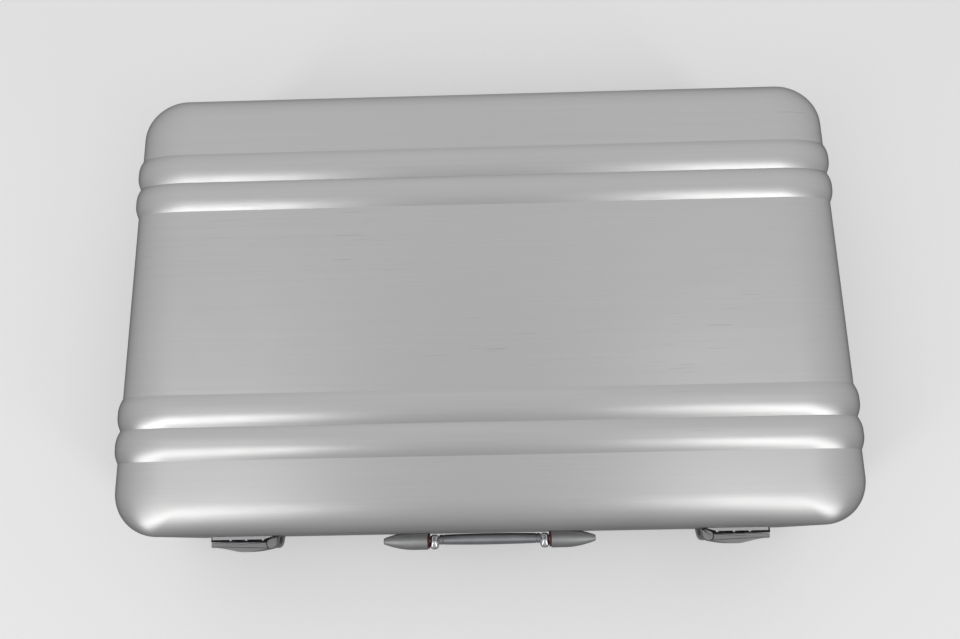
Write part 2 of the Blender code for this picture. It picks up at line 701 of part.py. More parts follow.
def make_latch(side, label, finishes, lid_joint):
    chrome, steel = finishes["polished_chrome"], finishes["stainless"]
    pivot = (LEVER_PIVOT[0], FRONT - LEVER_PIVOT[1])
    heights = (PARTING + LEVER_BOTTOM, PARTING + LEVER_TOP)
    knuckle = (PARTING + KNUCKLE_BOTTOM, PARTING + KNUCKLE_TOP)
    keeper_z = (PARTING + KEEPER_HEIGHTS[0], PARTING + KEEPER_HEIGHTS[1])
    plate_z = (PARTING + PLATE_BOTTOM, PARTING + PLATE_TOP)
    lever_joint = joint_empty(f"joint_latch_lever_{label}", (side * pivot[0], pivot[1], PARTING))

    sheet = slab((PLATE_INNER, PLATE_OUTER), (FRONT - PLATE_FRONT, FRONT - GAP), plate_z)
    plate = add(f"latch_plate_{label}", mirrored(sheet, side), chrome)
    nose_body = mirrored(prism(nose_outline(), "Z", *heights), side)
    nose = add(f"latch_nose_{label}", nose_body, finishes["satin_casting"])
    block_x = DIAL_MIDDLE - DIAL_BLOCK[0], DIAL_MIDDLE + DIAL_BLOCK[0]
    block_z = DIAL_AXIS[1] - DIAL_BLOCK[1], DIAL_AXIS[1] + DIAL_BLOCK[1]
    join(plate, mirrored(slab(block_x, (FRONT - DIAL_BLOCK_FRONT, FRONT - 1.0), block_z), side))
    behind_tab = prism(on_wall(NOSE_CLEARANCE), "Z", keeper_z[0] - GAP, keeper_z[1])
    cut(nose, mirrored(behind_tab, side))
    notch_x = LATCH_INNER - 2.0, LATCH_INNER + 16.0
    notch = slab(notch_x, (FRONT - 12.0, FRONT - 0.8), (knuckle[0] - GAP, knuckle[1] + GAP))
    cut(nose, mirrored(notch, side))
    for slot in (-1, 0, 1):
        middle = DIAL_MIDDLE + slot * DIAL_PITCH
        slot_x = middle - DIAL_SLOT / 2, middle + DIAL_SLOT / 2
        slot_z = DIAL_AXIS[1] - DIAL_RADIUS - 0.6, DIAL_AXIS[1] + DIAL_RADIUS + 0.6
        cut(plate, mirrored(slab(slot_x, (FRONT - 12.0, FRONT + 2.0), slot_z), side))
    axle_hole = rod(DIAL_AXIS, DIAL_AXLE_RADIUS + 0.15, "X", block_x[0] - 1, block_x[1] - 1.2, 8)
    cut(plate, mirrored(axle_hole, side))
    pin_hole = rod(pivot, LEVER_PIN_RADIUS + 0.2, "Z", heights[0] + 1.0, heights[1] + 1.0, 12)
    cut(nose, mirrored(pin_hole, side))

    lever_body = mirrored(prism(lever_outline(), "Z", *heights), side)
    lever = add(f"latch_lever_{label}", lever_body, finishes["satin_casting"], lever_joint)
    room = rod(pivot, NOSE_RADIUS + GAP, "Z", heights[0] - 1, heights[1] + 1, 32)
    cut(lever, mirrored(room, side))
    web_x = pivot[0], pivot[0] + NOSE_RADIUS + 1.2
    join(lever, mirrored(slab(web_x, (FRONT - 7.0, FRONT - LEVER_BACK - 0.1), knuckle), side))
    join(lever, mirrored(rod(pivot, KNUCKLE_RADIUS, "Z", *knuckle, 16), side))
    cut(lever, mirrored(rod(pivot, LEVER_PIN_RADIUS + 0.2, "Z", knuckle[0] - 1, knuckle[1] + 1, 12), side))

    pin = rod(pivot, LEVER_PIN_RADIUS, "Z", heights[0] + 1.3, heights[1] - 0.2, 12)
    add(f"latch_pin_{label}", mirrored(pin, side), steel)

    keeper_body = prism(on_wall(KEEPER_OUTLINE), "Z", *keeper_z)
    keeper = add(f"latch_keeper_{label}", mirrored(keeper_body, side), chrome, lid_joint)
    for x in KEEPER_RIBS:
        rib = rod((x, FRONT - KEEPER_FRONT), RIB_RADIUS, "Z", keeper_z[0] + 0.5, keeper_z[1] - 1.5, 10)
        join(keeper, mirrored(rib, side))

    axle = rod(DIAL_AXIS, DIAL_AXLE_RADIUS, "X", block_x[0] + 0.3, block_x[1] - 1.5, 8)
    add(f"dial_axle_{label}", mirrored(axle, side), steel)
    for slot in (-1, 0, 1):
        middle = DIAL_MIDDLE + slot * DIAL_PITCH
        joint = joint_empty(f"joint_dial_{label}_{slot + 2}", (side * middle, *DIAL_AXIS))
        ends = middle - DIAL_WIDTH / 2, middle + DIAL_WIDTH / 2
        wheel = tube(DIAL_AXIS, DIAL_RADIUS, DIAL_AXLE_RADIUS + GAP, "X", *ends, 20)
        add(f"dial_{label}_{slot + 2}", mirrored(wheel, side), steel, joint)


# ---- feet ----------------------------------------------------------------------------------------
def make_feet(finishes, lid_joint):
    start, end = BACK + GAP, BACK + BACK_REACH
    r = FOOT_RADIUS
    profile = [(r, start), (r, start + 1.8), (0.85 * r, end - 0.8), (0.7 * r, end)]
    for side, label in ((-1, "left"), (1, "right")):
        for part, height, parent in (("base", FOOT_HEIGHTS[0], None), ("lid", FOOT_HEIGHTS[1], lid_joint)):
            foot = turned(profile, (side * FOOT_X, height), "Y", 16)
            add(f"foot_{part}_{label}", foot, finishes["black_rubber"], parent)


# ---- the case ------------------------------------------------------------------------------------
def main():
    clear_scene()
    finishes = make_materials()
    lid_joint = joint_empty("joint_lid", (0, *HINGE_AXIS))
    make_shell("base_shell", BASE_DEPTH, -1, finishes["brushed_aluminium"])
    make_shell("lid_shell", LID_DEPTH, 1, finishes["brushed_aluminium"], lid_joint)
    make_frames(finishes, lid_joint)
    make_interior(finishes, lid_joint)
    make_hinges(finishes, lid_joint)
    make_stays(finishes, lid_joint)
    make_handle(finishes)
    for side, label in ((-1, "left"), (1, "right")):
        make_latch(side, label, finishes, lid_joint)
    make_feet(finishes, lid_joint)


main()
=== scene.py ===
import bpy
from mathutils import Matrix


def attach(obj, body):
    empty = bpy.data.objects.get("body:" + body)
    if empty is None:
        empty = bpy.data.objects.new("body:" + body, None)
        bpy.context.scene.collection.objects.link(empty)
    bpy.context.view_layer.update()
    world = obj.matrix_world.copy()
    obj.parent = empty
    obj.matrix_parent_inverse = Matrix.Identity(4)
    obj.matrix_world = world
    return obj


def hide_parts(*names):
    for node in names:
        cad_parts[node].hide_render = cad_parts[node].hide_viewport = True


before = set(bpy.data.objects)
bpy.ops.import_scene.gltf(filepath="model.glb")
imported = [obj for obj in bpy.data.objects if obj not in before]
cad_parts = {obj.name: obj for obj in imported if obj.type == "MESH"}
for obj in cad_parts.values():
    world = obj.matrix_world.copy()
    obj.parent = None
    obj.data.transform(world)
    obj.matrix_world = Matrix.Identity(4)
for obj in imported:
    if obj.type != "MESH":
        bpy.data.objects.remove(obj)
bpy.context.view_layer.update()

import math

import bmesh
import bpy
from mathutils import Matrix, Vector

# The aluminium attache case, lying closed on its base. Lengths are in millimetres, and MM turns them
# into metres. Y is measured from the middle of the shells, and make_object moves each piece to the
# origin of the whole case.
MM = 0.001
GAP = 0.3
ORIGIN_SHIFT = 3.0
SIDES = ((-1, "left"), (1, "right"))

# ---- sizes of the CAD model ----
LENGTH, WIDTH = 520.0, 330.0
HALF_X, HALF_Y = LENGTH / 2, WIDTH / 2
FRONT, BACK = -HALF_Y, HALF_Y
BASE_DEPTH, LID_DEPTH = 76.0, 51.0
SHELL_WALL = 1.6
CORNER_RADIUS = 32.0
EDGE_SIDE, EDGE_FRONT, EDGE_DROP = 40.0, 22.0, 14.0
FACE_CORNER = (14.0, 10.0)
BEAD_HEIGHT, BEAD_WIDTH, BEAD_START, BEAD_FADE = 2.6, 23.0, 68.8, 9.0
FRAME_BAND = 10.0
PARTING = BEAD_HEIGHT + BASE_DEPTH
HANDLE_AXIS = (FRONT - 5.4, PARTING - 16.0)
MOUNT_RADIUS, MOUNT_TIP_RADIUS, MOUNT_STRAIGHT = 6.6, 2.3, 10.0
MOUNT_INNER, MOUNT_LENGTH = 45.6, 32.9
ARM_INNER, ARM_OUTER = 37.7, 44.0
ARM_SPLAY, SPLAY_DROPS = 2.1, (8.0, 26.0)
PIVOT_RADIUS = 2.4
GRIP_DROP, GRIP_HEIGHT, GRIP_THICK, GRIP_SETBACK = 36.0, 18.0, 8.6, 0.7
LATCH_INNER, LATCH_OUTER = 151.8, 199.8
LEVER_PIVOT = (156.3, 5.2)
NOSE_RADIUS = 3.6
NOSE_FRONT = ((152.6, 5.4), (152.2, 3.6), (151.9, 1.8), (LATCH_INNER, 0.7))
LEVER_BACK, LEVER_TOP, LEVER_BOTTOM = 4.3, PARTING + 8.0, PARTING - 14.0
LEVER_FRONT = (
    (158.6, 8.9), (160.5, 9.4), (164.0, 10.1), (168.5, 10.8), (173.5, 11.2), (178.5, 11.1),
    (183.0, 10.3), (187.5, 9.3), (192.5, 8.4), (196.8, 7.9), (199.0, 7.9), (LATCH_OUTER, 7.3),
)
KNUCKLE = (PARTING - 9.5, PARTING + 1.0)
KNUCKLE_RADIUS = 2.6
TAB_CLEARANCE = ((153.0, 0.75), (160.4, 3.25))
HINGE_X, LEAF_THICK = 165.0, 1.4
FOOT_X, FOOT_STANDS = 218.0, 5.9
DIAL_MIDDLE, DIAL_PITCH, DIAL_RADIUS = 179.0, 6.4, 4.0
DIAL_AXIS = (FRONT - 5.2, PARTING - 31.0)


# ---- node trees ----
class Tree:
    """A small helper for building a Principled material from nodes."""

    def __init__(self, name, colour, metallic, roughness, **sockets):
        self.material = bpy.data.materials.new(name)
        self.material.use_nodes = True
        self.material.diffuse_color = (*colour, 1.0)
        self.nodes = self.material.node_tree.nodes
        self.links = self.material.node_tree.links
        self.shader = self.nodes["Principled BSDF"]
        self.set("Base Color", (*colour, 1.0))
        self.set("Metallic", metallic)
        self.set("Roughness", roughness)
        for key, value in sockets.items():
            self.set(key.replace("_", " "), value)

    def set(self, socket, value):
        self.shader.inputs[socket].default_value = value

    def link(self, source, target):
        self.links.new(source, target)

    def add(self, kind, source=None, socket="Vector", **values):
        """A new node with its input values set, fed by source if there is one."""
        node = self.nodes.new("ShaderNode" + kind)
        for key, value in values.items():
            node.inputs[key.replace("_", " ")].default_value = value
        if source is not None:
            self.link(source, node.inputs[socket])
        return node

    def coordinates(self, scale=(1.0, 1.0, 1.0), kind="Object", turn=0.0):
        source = self.add("TexCoord").outputs[kind]
        rotation = (0.0, 0.0, math.radians(turn))
        return self.add("Mapping", source, Scale=scale, Rotation=rotation).outputs["Vector"]

    def noise(self, vector, scale=1.0, detail=2.0, rough=0.5, distortion=0.0):
        values = {"Scale": scale, "Detail": detail, "Roughness": rough, "Distortion": distortion}
        return self.add("TexNoise", vector, **values).outputs["Fac"]

    def voronoi(self, vector, scale, feature="F1"):
        node = self.add("TexVoronoi", vector, Scale=scale)
        node.feature = feature
        return node.outputs["Distance"]

    def wave(self, vector, scale, direction, distortion=0.0, detail=0.0):
        node = self.add("TexWave", vector, Scale=scale, Distortion=distortion, Detail=detail)
        node.bands_direction = direction
        return node.outputs["Fac"]

    def spread(self, value, low, high, to_low=0.0, to_high=1.0):
        values = {"From Min": low, "From Max": high, "To Min": to_low, "To Max": to_high}
        return self.add("MapRange", value, "Value", **values).outputs["Result"]

    def math(self, operation, first, second):
        node = self.add("Math")
        node.operation = operation
        for socket, value in zip(node.inputs, (first, second)):
            if isinstance(value, (int, float)):
                socket.default_value = value
            else:
                self.link(value, socket)
        return node.outputs["Value"]

    def times(self, first, second):
        return self.math("MULTIPLY", first, second)

    def plus(self, first, second):
        return self.math("ADD", first, second)

    def blend(self, factor, first, second):
        node = self.add("Mix")
        node.data_type = "RGBA"
        for socket, value in ((node.inputs[6], first), (node.inputs[7], second)):
            if isinstance(value, tuple):
                socket.default_value = (*value, 1.0)
            else:
                self.link(value, socket)
        self.link(factor, node.inputs[0])
        return node.outputs[2]

    def edges(self, width=0.00035, low=0.02, high=0.22):
        """A mask that rises to 1 on the edges of a piece, where a wider rounding would turn its normal."""
        rounded_normal = self.add("Bevel", Radius=width)
        rounded_normal.samples = 4
        dot = self.add("VectorMath")
        dot.operation = "DOT_PRODUCT"
        self.link(rounded_normal.outputs["Normal"], dot.inputs[0])
        self.link(self.add("NewGeometry").outputs["Normal"], dot.inputs[1])
        return self.spread(self.math("SUBTRACT", 1.0, dot.outputs["Value"]), low, high)

    def colour(self, socket):
        self.link(socket, self.shader.inputs["Base Color"])

    def roughness(self, socket):
        self.link(socket, self.shader.inputs["Roughness"])

    def bump(self, height, distance, strength=1.0):
        node = self.add("Bump", height, "Height", Distance=distance, Strength=strength)
        self.link(node.outputs["Normal"], self.shader.inputs["Normal"])

    def grain(self, uv_map):
        """Highlights stretch across the brushing, which runs along the U direction of a UV map."""
        self.set("Anisotropic Rotation", 0.25)
        node = self.add("Tangent")
        node.direction_type = "UV_MAP"
        node.uv_map = uv_map
        self.link(node.outputs["Tangent"], self.shader.inputs["Tangent"])


def shade(colour, factor):
    return tuple(factor * c for c in colour)


def brushed_metal(name, light, dark, roughness, scratches):
    """Sheet brushed along U, with fine streaks, faint smudges and, if scratches, hairline scratches."""
    tree = Tree(name, light, 1.0, roughness, Anisotropic=0.72)
    tree.set("Specular Tint", (0.35, 0.35, 0.36, 1.0))
    fine = tree.noise(tree.coordinates((9.0, 2600.0, 1.0), "UV"), 1.0, 3.0, 0.65)
    broad = tree.noise(tree.coordinates((3.0, 420.0, 1.0), "UV"), 1.0, 3.0, 0.6)
    smudge = tree.noise(tree.coordinates((6.0, 9.0, 7.0)), 1.0, 4.0, 0.6, 0.6)
    streak = tree.plus(tree.times(fine, 0.6), tree.times(broad, 0.4))
    tone = tree.spread(streak, 0.36, 0.64)
    tone = tree.plus(tree.times(tone, 0.7), tree.times(smudge, 0.3))
    base = tree.blend(tone, dark, light)
    rough = tree.spread(smudge, 0.3, 0.7, roughness - 0.035, roughness + 0.05)
    if scratches:
        marks = None
        for turn, across, limit in ((8.0, 900.0, 0.70), (-24.0, 820.0, 0.72), (57.0, 760.0, 0.73)):
            vector = tree.coordinates((26.0, across, 1.0), "UV", turn)
            line = tree.spread(tree.noise(vector, 1.0, 1.0, 0.3), limit, limit + 0.05)
            marks = line if marks is None else tree.math("MAXIMUM", marks, line)
        patch = tree.spread(tree.noise(tree.coordinates((9.0, 11.0, 1.0), "UV"), 1.0, 1.0), 0.54, 0.68)
        marks = tree.times(marks, patch)
        base = tree.blend(tree.times(marks, 0.24), base, shade(dark, 0.45))
        rough = tree.plus(rough, tree.times(marks, 0.12))
    tree.colour(base)
    tree.roughness(rough)
    tree.bump(streak, 0.00002, 0.35)
    tree.grain("grain")
    return tree.material


def plated_metal(name, colour, roughness, smudged=0.05):
    """Polished plate, with the faint haze of finger marks."""
    tree = Tree(name, colour, 1.0, roughness)
    haze = tree.noise(tree.coordinates((90.0, 70.0, 90.0)), 1.0, 4.0, 0.6, 0.4)
    tree.roughness(tree.spread(haze, 0.4, 0.75, roughness, roughness + smudged))
    tree.colour(tree.blend(tree.spread(haze, 0.3, 0.8), colour, shade(colour, 0.88)))
    return tree.material


def cast_metal(name, colour, roughness):
    """Satin die casting: a fine bead-blasted skin, with a painted highlight that lightens its edges."""
    tree = Tree(name, colour, 1.0, roughness)
    skin = tree.noise(tree.coordinates(), 2200.0, 3.0, 0.6)
    cloud = tree.noise(tree.coordinates(), 60.0, 3.0, 0.6)
    tone = tree.blend(tree.spread(cloud, 0.3, 0.7), shade(colour, 0.9), shade(colour, 1.08))
    # Painted highlight: the colour is lightened along the edges that the edges mask finds.
    tone = tree.blend(tree.times(tree.edges(), 0.5), tone, shade(colour, 1.5))
    tree.colour(tone)
    tree.roughness(tree.spread(skin, 0.3, 0.7, roughness - 0.05, roughness + 0.06))
    tree.bump(skin, 0.00004, 0.25)
    return tree.material


def drawn_steel(name, colour, roughness):
    """Rolled and tumbled steel parts, with a faint rolling grain."""
    tree = Tree(name, colour, 1.0, roughness)
    grain = tree.noise(tree.coordinates((120.0, 120.0, 2200.0)), 1.0, 3.0, 0.6)
    haze = tree.noise(tree.coordinates(), 90.0, 4.0, 0.6)
    tree.colour(tree.blend(tree.spread(grain, 0.3, 0.7), shade(colour, 0.82), colour))
    tree.roughness(tree.spread(haze, 0.3, 0.7, roughness - 0.04, roughness + 0.1))
    tree.bump(grain, 0.00003, 0.25)
    return tree.material


def moulded(name, colour, roughness, sheen=0.0):
    """Moulded rubber or nylon with a fine spark-eroded texture."""
    tree = Tree(name, colour, 0.0, roughness, Sheen_Weight=sheen)
    skin = tree.voronoi(tree.coordinates(), 1500.0)
    dust = tree.noise(tree.coordinates(), 70.0, 5.0, 0.65)
    tree.colour(tree.blend(tree.spread(dust, 0.45, 0.8), colour, tuple(c + 0.05 for c in colour)))
    tree.roughness(tree.spread(dust, 0.3, 0.7, roughness - 0.06, roughness + 0.08))
    tree.bump(skin, 0.00008, 0.3)
    return tree.material


def woven(name, dark, light, threads=900.0):
    """Plain-weave lining cloth: crossing threads with slubs and a soft sheen."""
    tree = Tree(name, light, 0.0, 0.88, Sheen_Weight=0.35, Sheen_Roughness=0.5)
    place = tree.coordinates(kind="UV")
    warp = tree.wave(place, threads, "X", 1.5, 1.0)
    weft = tree.wave(place, threads, "Y", 1.5, 1.0)
    weave = tree.times(warp, weft)
    slub = tree.noise(tree.coordinates((30.0, 900.0, 1.0), "UV"), 1.0, 2.0)
    cloud = tree.noise(tree.coordinates(), 14.0, 4.0, 0.6)
    tone = tree.plus(tree.times(weave, 0.55), tree.times(slub, 0.3))
    tone = tree.plus(tone, tree.times(cloud, 0.25))
    tree.colour(tree.blend(tree.spread(tone, 0.15, 0.85), dark, light))
    tree.bump(weave, 0.0002, 0.6)
    return tree.material


def leather(name, dark, light, roughness=0.5):
    """Grained leather: pebbles of uneven size with creases between them, its colour lighter on the pebbles
    and darker in the creases.
    """
    tree = Tree(name, light, 0.0, roughness, Coat_Weight=0.06, Coat_Roughness=0.35)
    place = tree.coordinates()
    cells = tree.voronoi(place, 620.0, "SMOOTH_F1")
    small = tree.noise(place, 1500.0, 3.0, 0.6)
    cloud = tree.noise(place, 22.0, 4.0, 0.6)
    pebble = tree.plus(tree.spread(cells, 0.0, 0.9, 1.0, 0.0), tree.times(small, 0.25))
    tone = tree.plus(tree.times(pebble, 0.5), tree.times(cloud, 0.45))
    tree.colour(tree.blend(tree.spread(tone, 0.3, 0.95), dark, light))
    tree.roughness(tree.spread(cells, 0.0, 0.8, roughness - 0.06, roughness + 0.16))
    tree.bump(pebble, 0.00025, 0.55)
    return tree.material


def thread(name, colour):
    tree = Tree(name, colour, 0.0, 0.7, Sheen_Weight=0.3)
    twist = tree.wave(tree.coordinates(), 900.0, "DIAGONAL", 0.5)
    tree.colour(tree.blend(twist, shade(colour, 0.6), colour))
    tree.bump(twist, 0.0001, 0.5)
    return tree.material


FINISH = {
    "brushed_aluminium": brushed_metal("mat_shell", (0.70, 0.695, 0.69), (0.645, 0.641, 0.637), 0.33, True),
    "frame_aluminium": brushed_metal("mat_frame", (0.60, 0.60, 0.605), (0.50, 0.50, 0.505), 0.27, False),
    "satin_casting": cast_metal("mat_casting", (0.42, 0.425, 0.42), 0.52),
    "grip_casting": cast_metal("mat_grip", (0.40, 0.405, 0.425), 0.48),
    "lever_casting": cast_metal("mat_lever", (0.30, 0.30, 0.30), 0.42),
    # Painted shade: the latch plates are near black so that the shadowed gap between lever and plate reads
    # dark.
    "gap_painted_shade": plated_metal("mat_gap_painted_shade", (0.030, 0.030, 0.032), 0.24),
    "keeper_plate": plated_metal("mat_keeper", (0.60, 0.60, 0.61), 0.24),
    "polished_chrome": plated_metal("mat_chrome", (0.80, 0.80, 0.815), 0.07),
    "stainless": drawn_steel("mat_steel", (0.52, 0.52, 0.53), 0.28),
    "oxblood_nylon": moulded("mat_oxblood", (0.075, 0.006, 0.010), 0.4),
    "black_rubber": moulded("mat_rubber", (0.022, 0.022, 0.023), 0.62),
    "grey_lining": woven("mat_lining", (0.060, 0.062, 0.067), (0.165, 0.169, 0.180)),
    "pad_cloth": woven("mat_pad", (0.052, 0.054, 0.059), (0.140, 0.144, 0.154), 700.0),
    "black_leather": leather("mat_leather", (0.020, 0.020, 0.021), (0.085, 0.083, 0.084)),
    "webbing": woven("mat_webbing", (0.018, 0.018, 0.019), (0.075, 0.075, 0.078), 1300.0),
    "thread": thread("mat_thread", (0.30, 0.30, 0.31)),
    "number_ink": moulded("mat_ink", (0.012, 0.012, 0.013), 0.5),
}


# ---- mesh helpers ----
def box_unwrap(bm):
    """UVs in metres, seen along the axis that each face points to most, so that a weave keeps its scale."""
    weave = bm.loops.layers.uv.new("weave")
    bm.normal_update()
    for face in bm.faces:
        axis = max(range(3), key=lambda k: abs(face.normal[k]))
        u, v = (k for k in range(3) if k != axis)
        for loop in face.loops:
            loop[weave].uv = (loop.vert.co[u], loop.vert.co[v])


def make_object(name, bm, finish, body, replaces=(), sharp=35.0, smooth=True):
    """A piece that rides on a body, from a bmesh in millimetres."""
    to_origin = Matrix.Scale(MM, 4) @ Matrix.Translation((0.0, ORIGIN_SHIFT, 0.0))
    bmesh.ops.transform(bm, matrix=to_origin, verts=bm.verts)
    if "grain" not in bm.loops.layers.uv:
        box_unwrap(bm)
    mesh = bpy.data.meshes.new(name)
    bm.to_mesh(mesh)
    bm.free()
    if smooth:
        mesh.shade_smooth()
        mesh.set_sharp_from_angle(angle=math.radians(sharp))
    mesh.materials.append(FINISH[finish])
    obj = bpy.data.objects.new(name, mesh)
    bpy.context.scene.collection.objects.link(obj)
    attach(obj, body)
    if replaces:
        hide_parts(*replaces)
    return obj


def bevel(obj, width, segments=3, angle=30.0):
    modifier = obj.modifiers.new("edge", "BEVEL")
    modifier.width = width * MM
    modifier.segments = segments
    modifier.limit_method = "ANGLE"
    modifier.angle_limit = math.radians(angle)
    modifier.harden_normals = False
    return modifier


def bridge(bm, near, far):
    """The faces between two closed rows of vertices."""
    after_near, after_far = near[1:] + near[:1], far[1:] + far[:1]
    return [bm.faces.new(corners) for corners in zip(near, after_near, after_far, far)]


def loft(rings, loop=False, caps=True, bm=None):
    """A skin through rings of equal length, closed by caps, or by its last ring meeting its first."""
    own = bm or bmesh.new()
    rows = [[own.verts.new(point) for point in ring] for ring in rings]
    pairs = list(zip(rows, rows[1:]))
    if loop:
        pairs.append((rows[-1], rows[0]))
    faces = []
    for near, far in pairs:
        faces += bridge(own, near, far)
    if caps and not loop:
        faces.append(own.faces.new(rows[0]))
        faces.append(own.faces.new(rows[-1]))
    bmesh.ops.recalc_face_normals(own, faces=faces)
    return own


def place(u, v, along, axis):
    return {"X": (along, u, v), "Y": (u, along, v), "Z": (u, v, along)}[axis]


def circle(centre, radius, steps):
    turns = [math.tau * i / steps for i in range(steps)]
    return [(centre[0] + radius * math.cos(a), centre[1] + radius * math.sin(a)) for a in turns]


def turned(profile, centre, axis, steps=48, loop=False, bm=None):
    """A solid of revolution round an axis. profile holds (radius, distance along the axis)."""
    rings = []
    for radius, along in profile:
        rings.append([place(u, v, along, axis) for u, v in circle(centre, radius, steps)])
    return loft(rings, loop, bm=bm)


def mirror(bm, side):
    if side < 0:
        for vert in bm.verts:
            vert.co.x = -vert.co.x
        bmesh.ops.reverse_faces(bm, faces=bm.faces)
    return bm


def corner_arc(signs, half_x, half_y, radius_x, radius_y, steps):
    quadrant = {(1, 1): 0, (-1, 1): 1, (-1, -1): 2, (1, -1): 3}[signs]
    centre = (signs[0] * (half_x - radius_x), signs[1] * (half_y - radius_y))
    points = []
    for step in range(steps + 1):
        angle = math.pi / 2 * (quadrant + step / steps)
        points.append((centre[0] + radius_x * math.cos(angle), centre[1] + radius_y * math.sin(angle)))
    return points


def quarter(steps, first=0):
    """(cosine, sine) at even steps from 0 to 90 degrees."""
    angles = [math.pi / 2 * step / steps for step in range(first, steps + 1)]
    return [(math.cos(angle), math.sin(angle)) for angle in angles]


SIGNS = ((1, 1), (-1, 1), (-1, -1), (1, -1))


def rounded(half_x, half_y, radius, steps=12):
    points = []
    for signs in SIGNS:
        points += corner_arc(signs, half_x, half_y, radius, radius, steps)
    return points


# ---- shells ----
BEAD_STEPS = 14
CURVE_STEPS = 14
CORNER_STEPS = 18


def bead_rows():
    """(y, height) across the two pairs of beads, from front to back. The creases between beads are sharp."""
    crest = 1 - (1 / 5) ** 2
    pair = []
    for bead in range(2):
        for step in range(BEAD_STEPS + 1):
            if bead and step == 0:
                continue
            across = 2 * step / BEAD_STEPS - 1
            height = BEAD_HEIGHT * min(1.0, (1 - abs(across) ** 2.2) / crest)
            pair.append((BEAD_START + BEAD_WIDTH * (bead + (across + 1) / 2), height))
    return [(-y, h) for y, h in reversed(pair)] + pair


def shell_levels(depth):
    rim = FRAME_BAND + GAP
    levels = [(0.0, rim, 1.0, 0.0, 0.0)]
    for step in range(1, 9):
        share = step / 8
        levels.append((0.0, rim + BEAD_FADE * share, 1.0, 0.0, share * share * (3 - 2 * share)))
    wall = depth - EDGE_DROP
    for cosine, sine in quarter(CURVE_STEPS):
        normal = Vector((cosine / EDGE_SIDE, sine / EDGE_DROP)).normalized()
        levels.append((1 - cosine, wall + EDGE_DROP * sine, normal.x, normal.y, 1.0))
    return levels


def shell_ring(share, height, normal_x, normal_z, bead_share):
    half_x, half_y = HALF_X - EDGE_SIDE * share, HALF_Y - EDGE_FRONT * share
    radius_x = CORNER_RADIUS + (FACE_CORNER[0] - CORNER_RADIUS) * share
    radius_y = CORNER_RADIUS + (FACE_CORNER[1] - CORNER_RADIUS) * share
    side = []
    for y, bead in bead_rows():
        lift = bead * bead_share
        side.append((half_x + lift * normal_x, y, height + lift * normal_z))
    arcs = []
    for signs in SIGNS:
        arc = corner_arc(signs, half_x, half_y, radius_x, radius_y, CORNER_STEPS)
        arcs.append([(x, y, height) for x, y in arc])
    left = [(-x, y, z) for x, y, z in reversed(side)]
    return side + arcs[0] + arcs[1] + left + arcs[2] + arcs[3]


def shell(name, depth, direction, body):
    rings = [shell_ring(*level) for level in shell_levels(depth)]
    bm = bmesh.new()
    rows = [[bm.verts.new((x, y, PARTING + direction * z)) for x, y, z in ring] for ring in rings]
    count = len(rings[0])
    travelled = [0.0] * count
    flat = {}
    for i in range(count):
        flat[rows[-1][i]] = Vector(rings[-1][i][:2])
    for level in range(len(rings) - 2, -1, -1):
        for i in range(count):
            travelled[i] += (Vector(rings[level][i]) - Vector(rings[level + 1][i])).length
            outward = Vector(rings[0][i][:2]) - Vector(rings[-1][i][:2])
            flat[rows[level][i]] = Vector(rings[-1][i][:2]) + outward.normalized() * travelled[i]
    for near, far in zip(rows, rows[1:]):
        bridge(bm, near, far)
    top = rows[-1]
    samples = len(bead_rows())
    arc = CORNER_STEPS + 1
    left = samples + 2 * arc
    for i in range(samples - 1):
        bm.faces.new((top[i], top[i + 1], top[left + samples - 2 - i], top[left + samples - 1 - i]))
    bm.faces.new(top[samples - 1 : left + 1])
    bm.faces.new(top[left + samples - 1 :] + top[:1])
    grain = bm.loops.layers.uv.new("grain")
    for face in bm.faces:
        for loop in face.loops:
            loop[grain].uv = flat[loop.vert] * MM
    bmesh.ops.recalc_face_normals(bm, faces=bm.faces)
    if max(bm.faces, key=lambda f: f.calc_area()).normal.z * direction < 0:
        bmesh.ops.reverse_faces(bm, faces=bm.faces)
    node = name.replace("_skin", "_shell")
    obj = make_object(name, bm, "brushed_aluminium", body, replaces=(node,), sharp=14.0)
    solidify = obj.modifiers.new("sheet", "SOLIDIFY")
    solidify.thickness = SHELL_WALL * MM
    solidify.offset = -1.0
    solidify.use_even_offset = True
    return obj


# ---- frames ----
def rim(name, section, finish, body, replaces):
    """An extrusion bent round the case. section holds (inset, z), and the grain runs along it."""
    steps = 18
    bm = bmesh.new()
    rows = []
    for inset, z in section:
        outline = rounded(HALF_X - inset, HALF_Y - inset, CORNER_RADIUS - inset, steps)
        rows.append([bm.verts.new((x, y, z)) for x, y in outline])
    grain = bm.loops.layers.uv.new("grain")
    count = len(rows[0])
    along = [0.0]
    outline = rounded(HALF_X, HALF_Y, CORNER_RADIUS, steps)
    for i in range(count):
        near, far = outline[i], outline[(i + 1) % count]
        along.append(along[-1] + math.dist(near, far))
    across = [0.0]
    for near, far in zip(section, section[1:] + section[:1]):
        across.append(across[-1] + math.dist(near, far))
    for row in range(len(section)):
        for i, face in enumerate(bridge(bm, rows[row], rows[(row + 1) % len(section)])):
            spots = ((i, row), (i + 1, row), (i + 1, row + 1), (i, row + 1))
            for loop, (u, v) in zip(face.loops, spots):
                loop[grain].uv = (along[u] * MM, across[v] * MM)
    bmesh.ops.recalc_face_normals(bm, faces=bm.faces)
    return make_object(name, bm, finish, body, replaces=replaces, sharp=40.0)


def fillet(section, radius, steps=4):
    """A section with its corners rounded, each by radius or by what fits."""
    made = []
    count = len(section)
    for i in range(count):
        here = Vector(section[i])
        before, after = Vector(section[i - 1]) - here, Vector(section[(i + 1) % count]) - here
        cut = min(radius, 0.45 * before.length, 0.45 * after.length)
        start, end = here + before.normalized() * cut, here + after.normalized() * cut
        for step in range(steps + 1):
            t = step / steps
            made.append(tuple(start * (1 - t) ** 2 + here * 2 * t * (1 - t) + end * t * t))
    return made


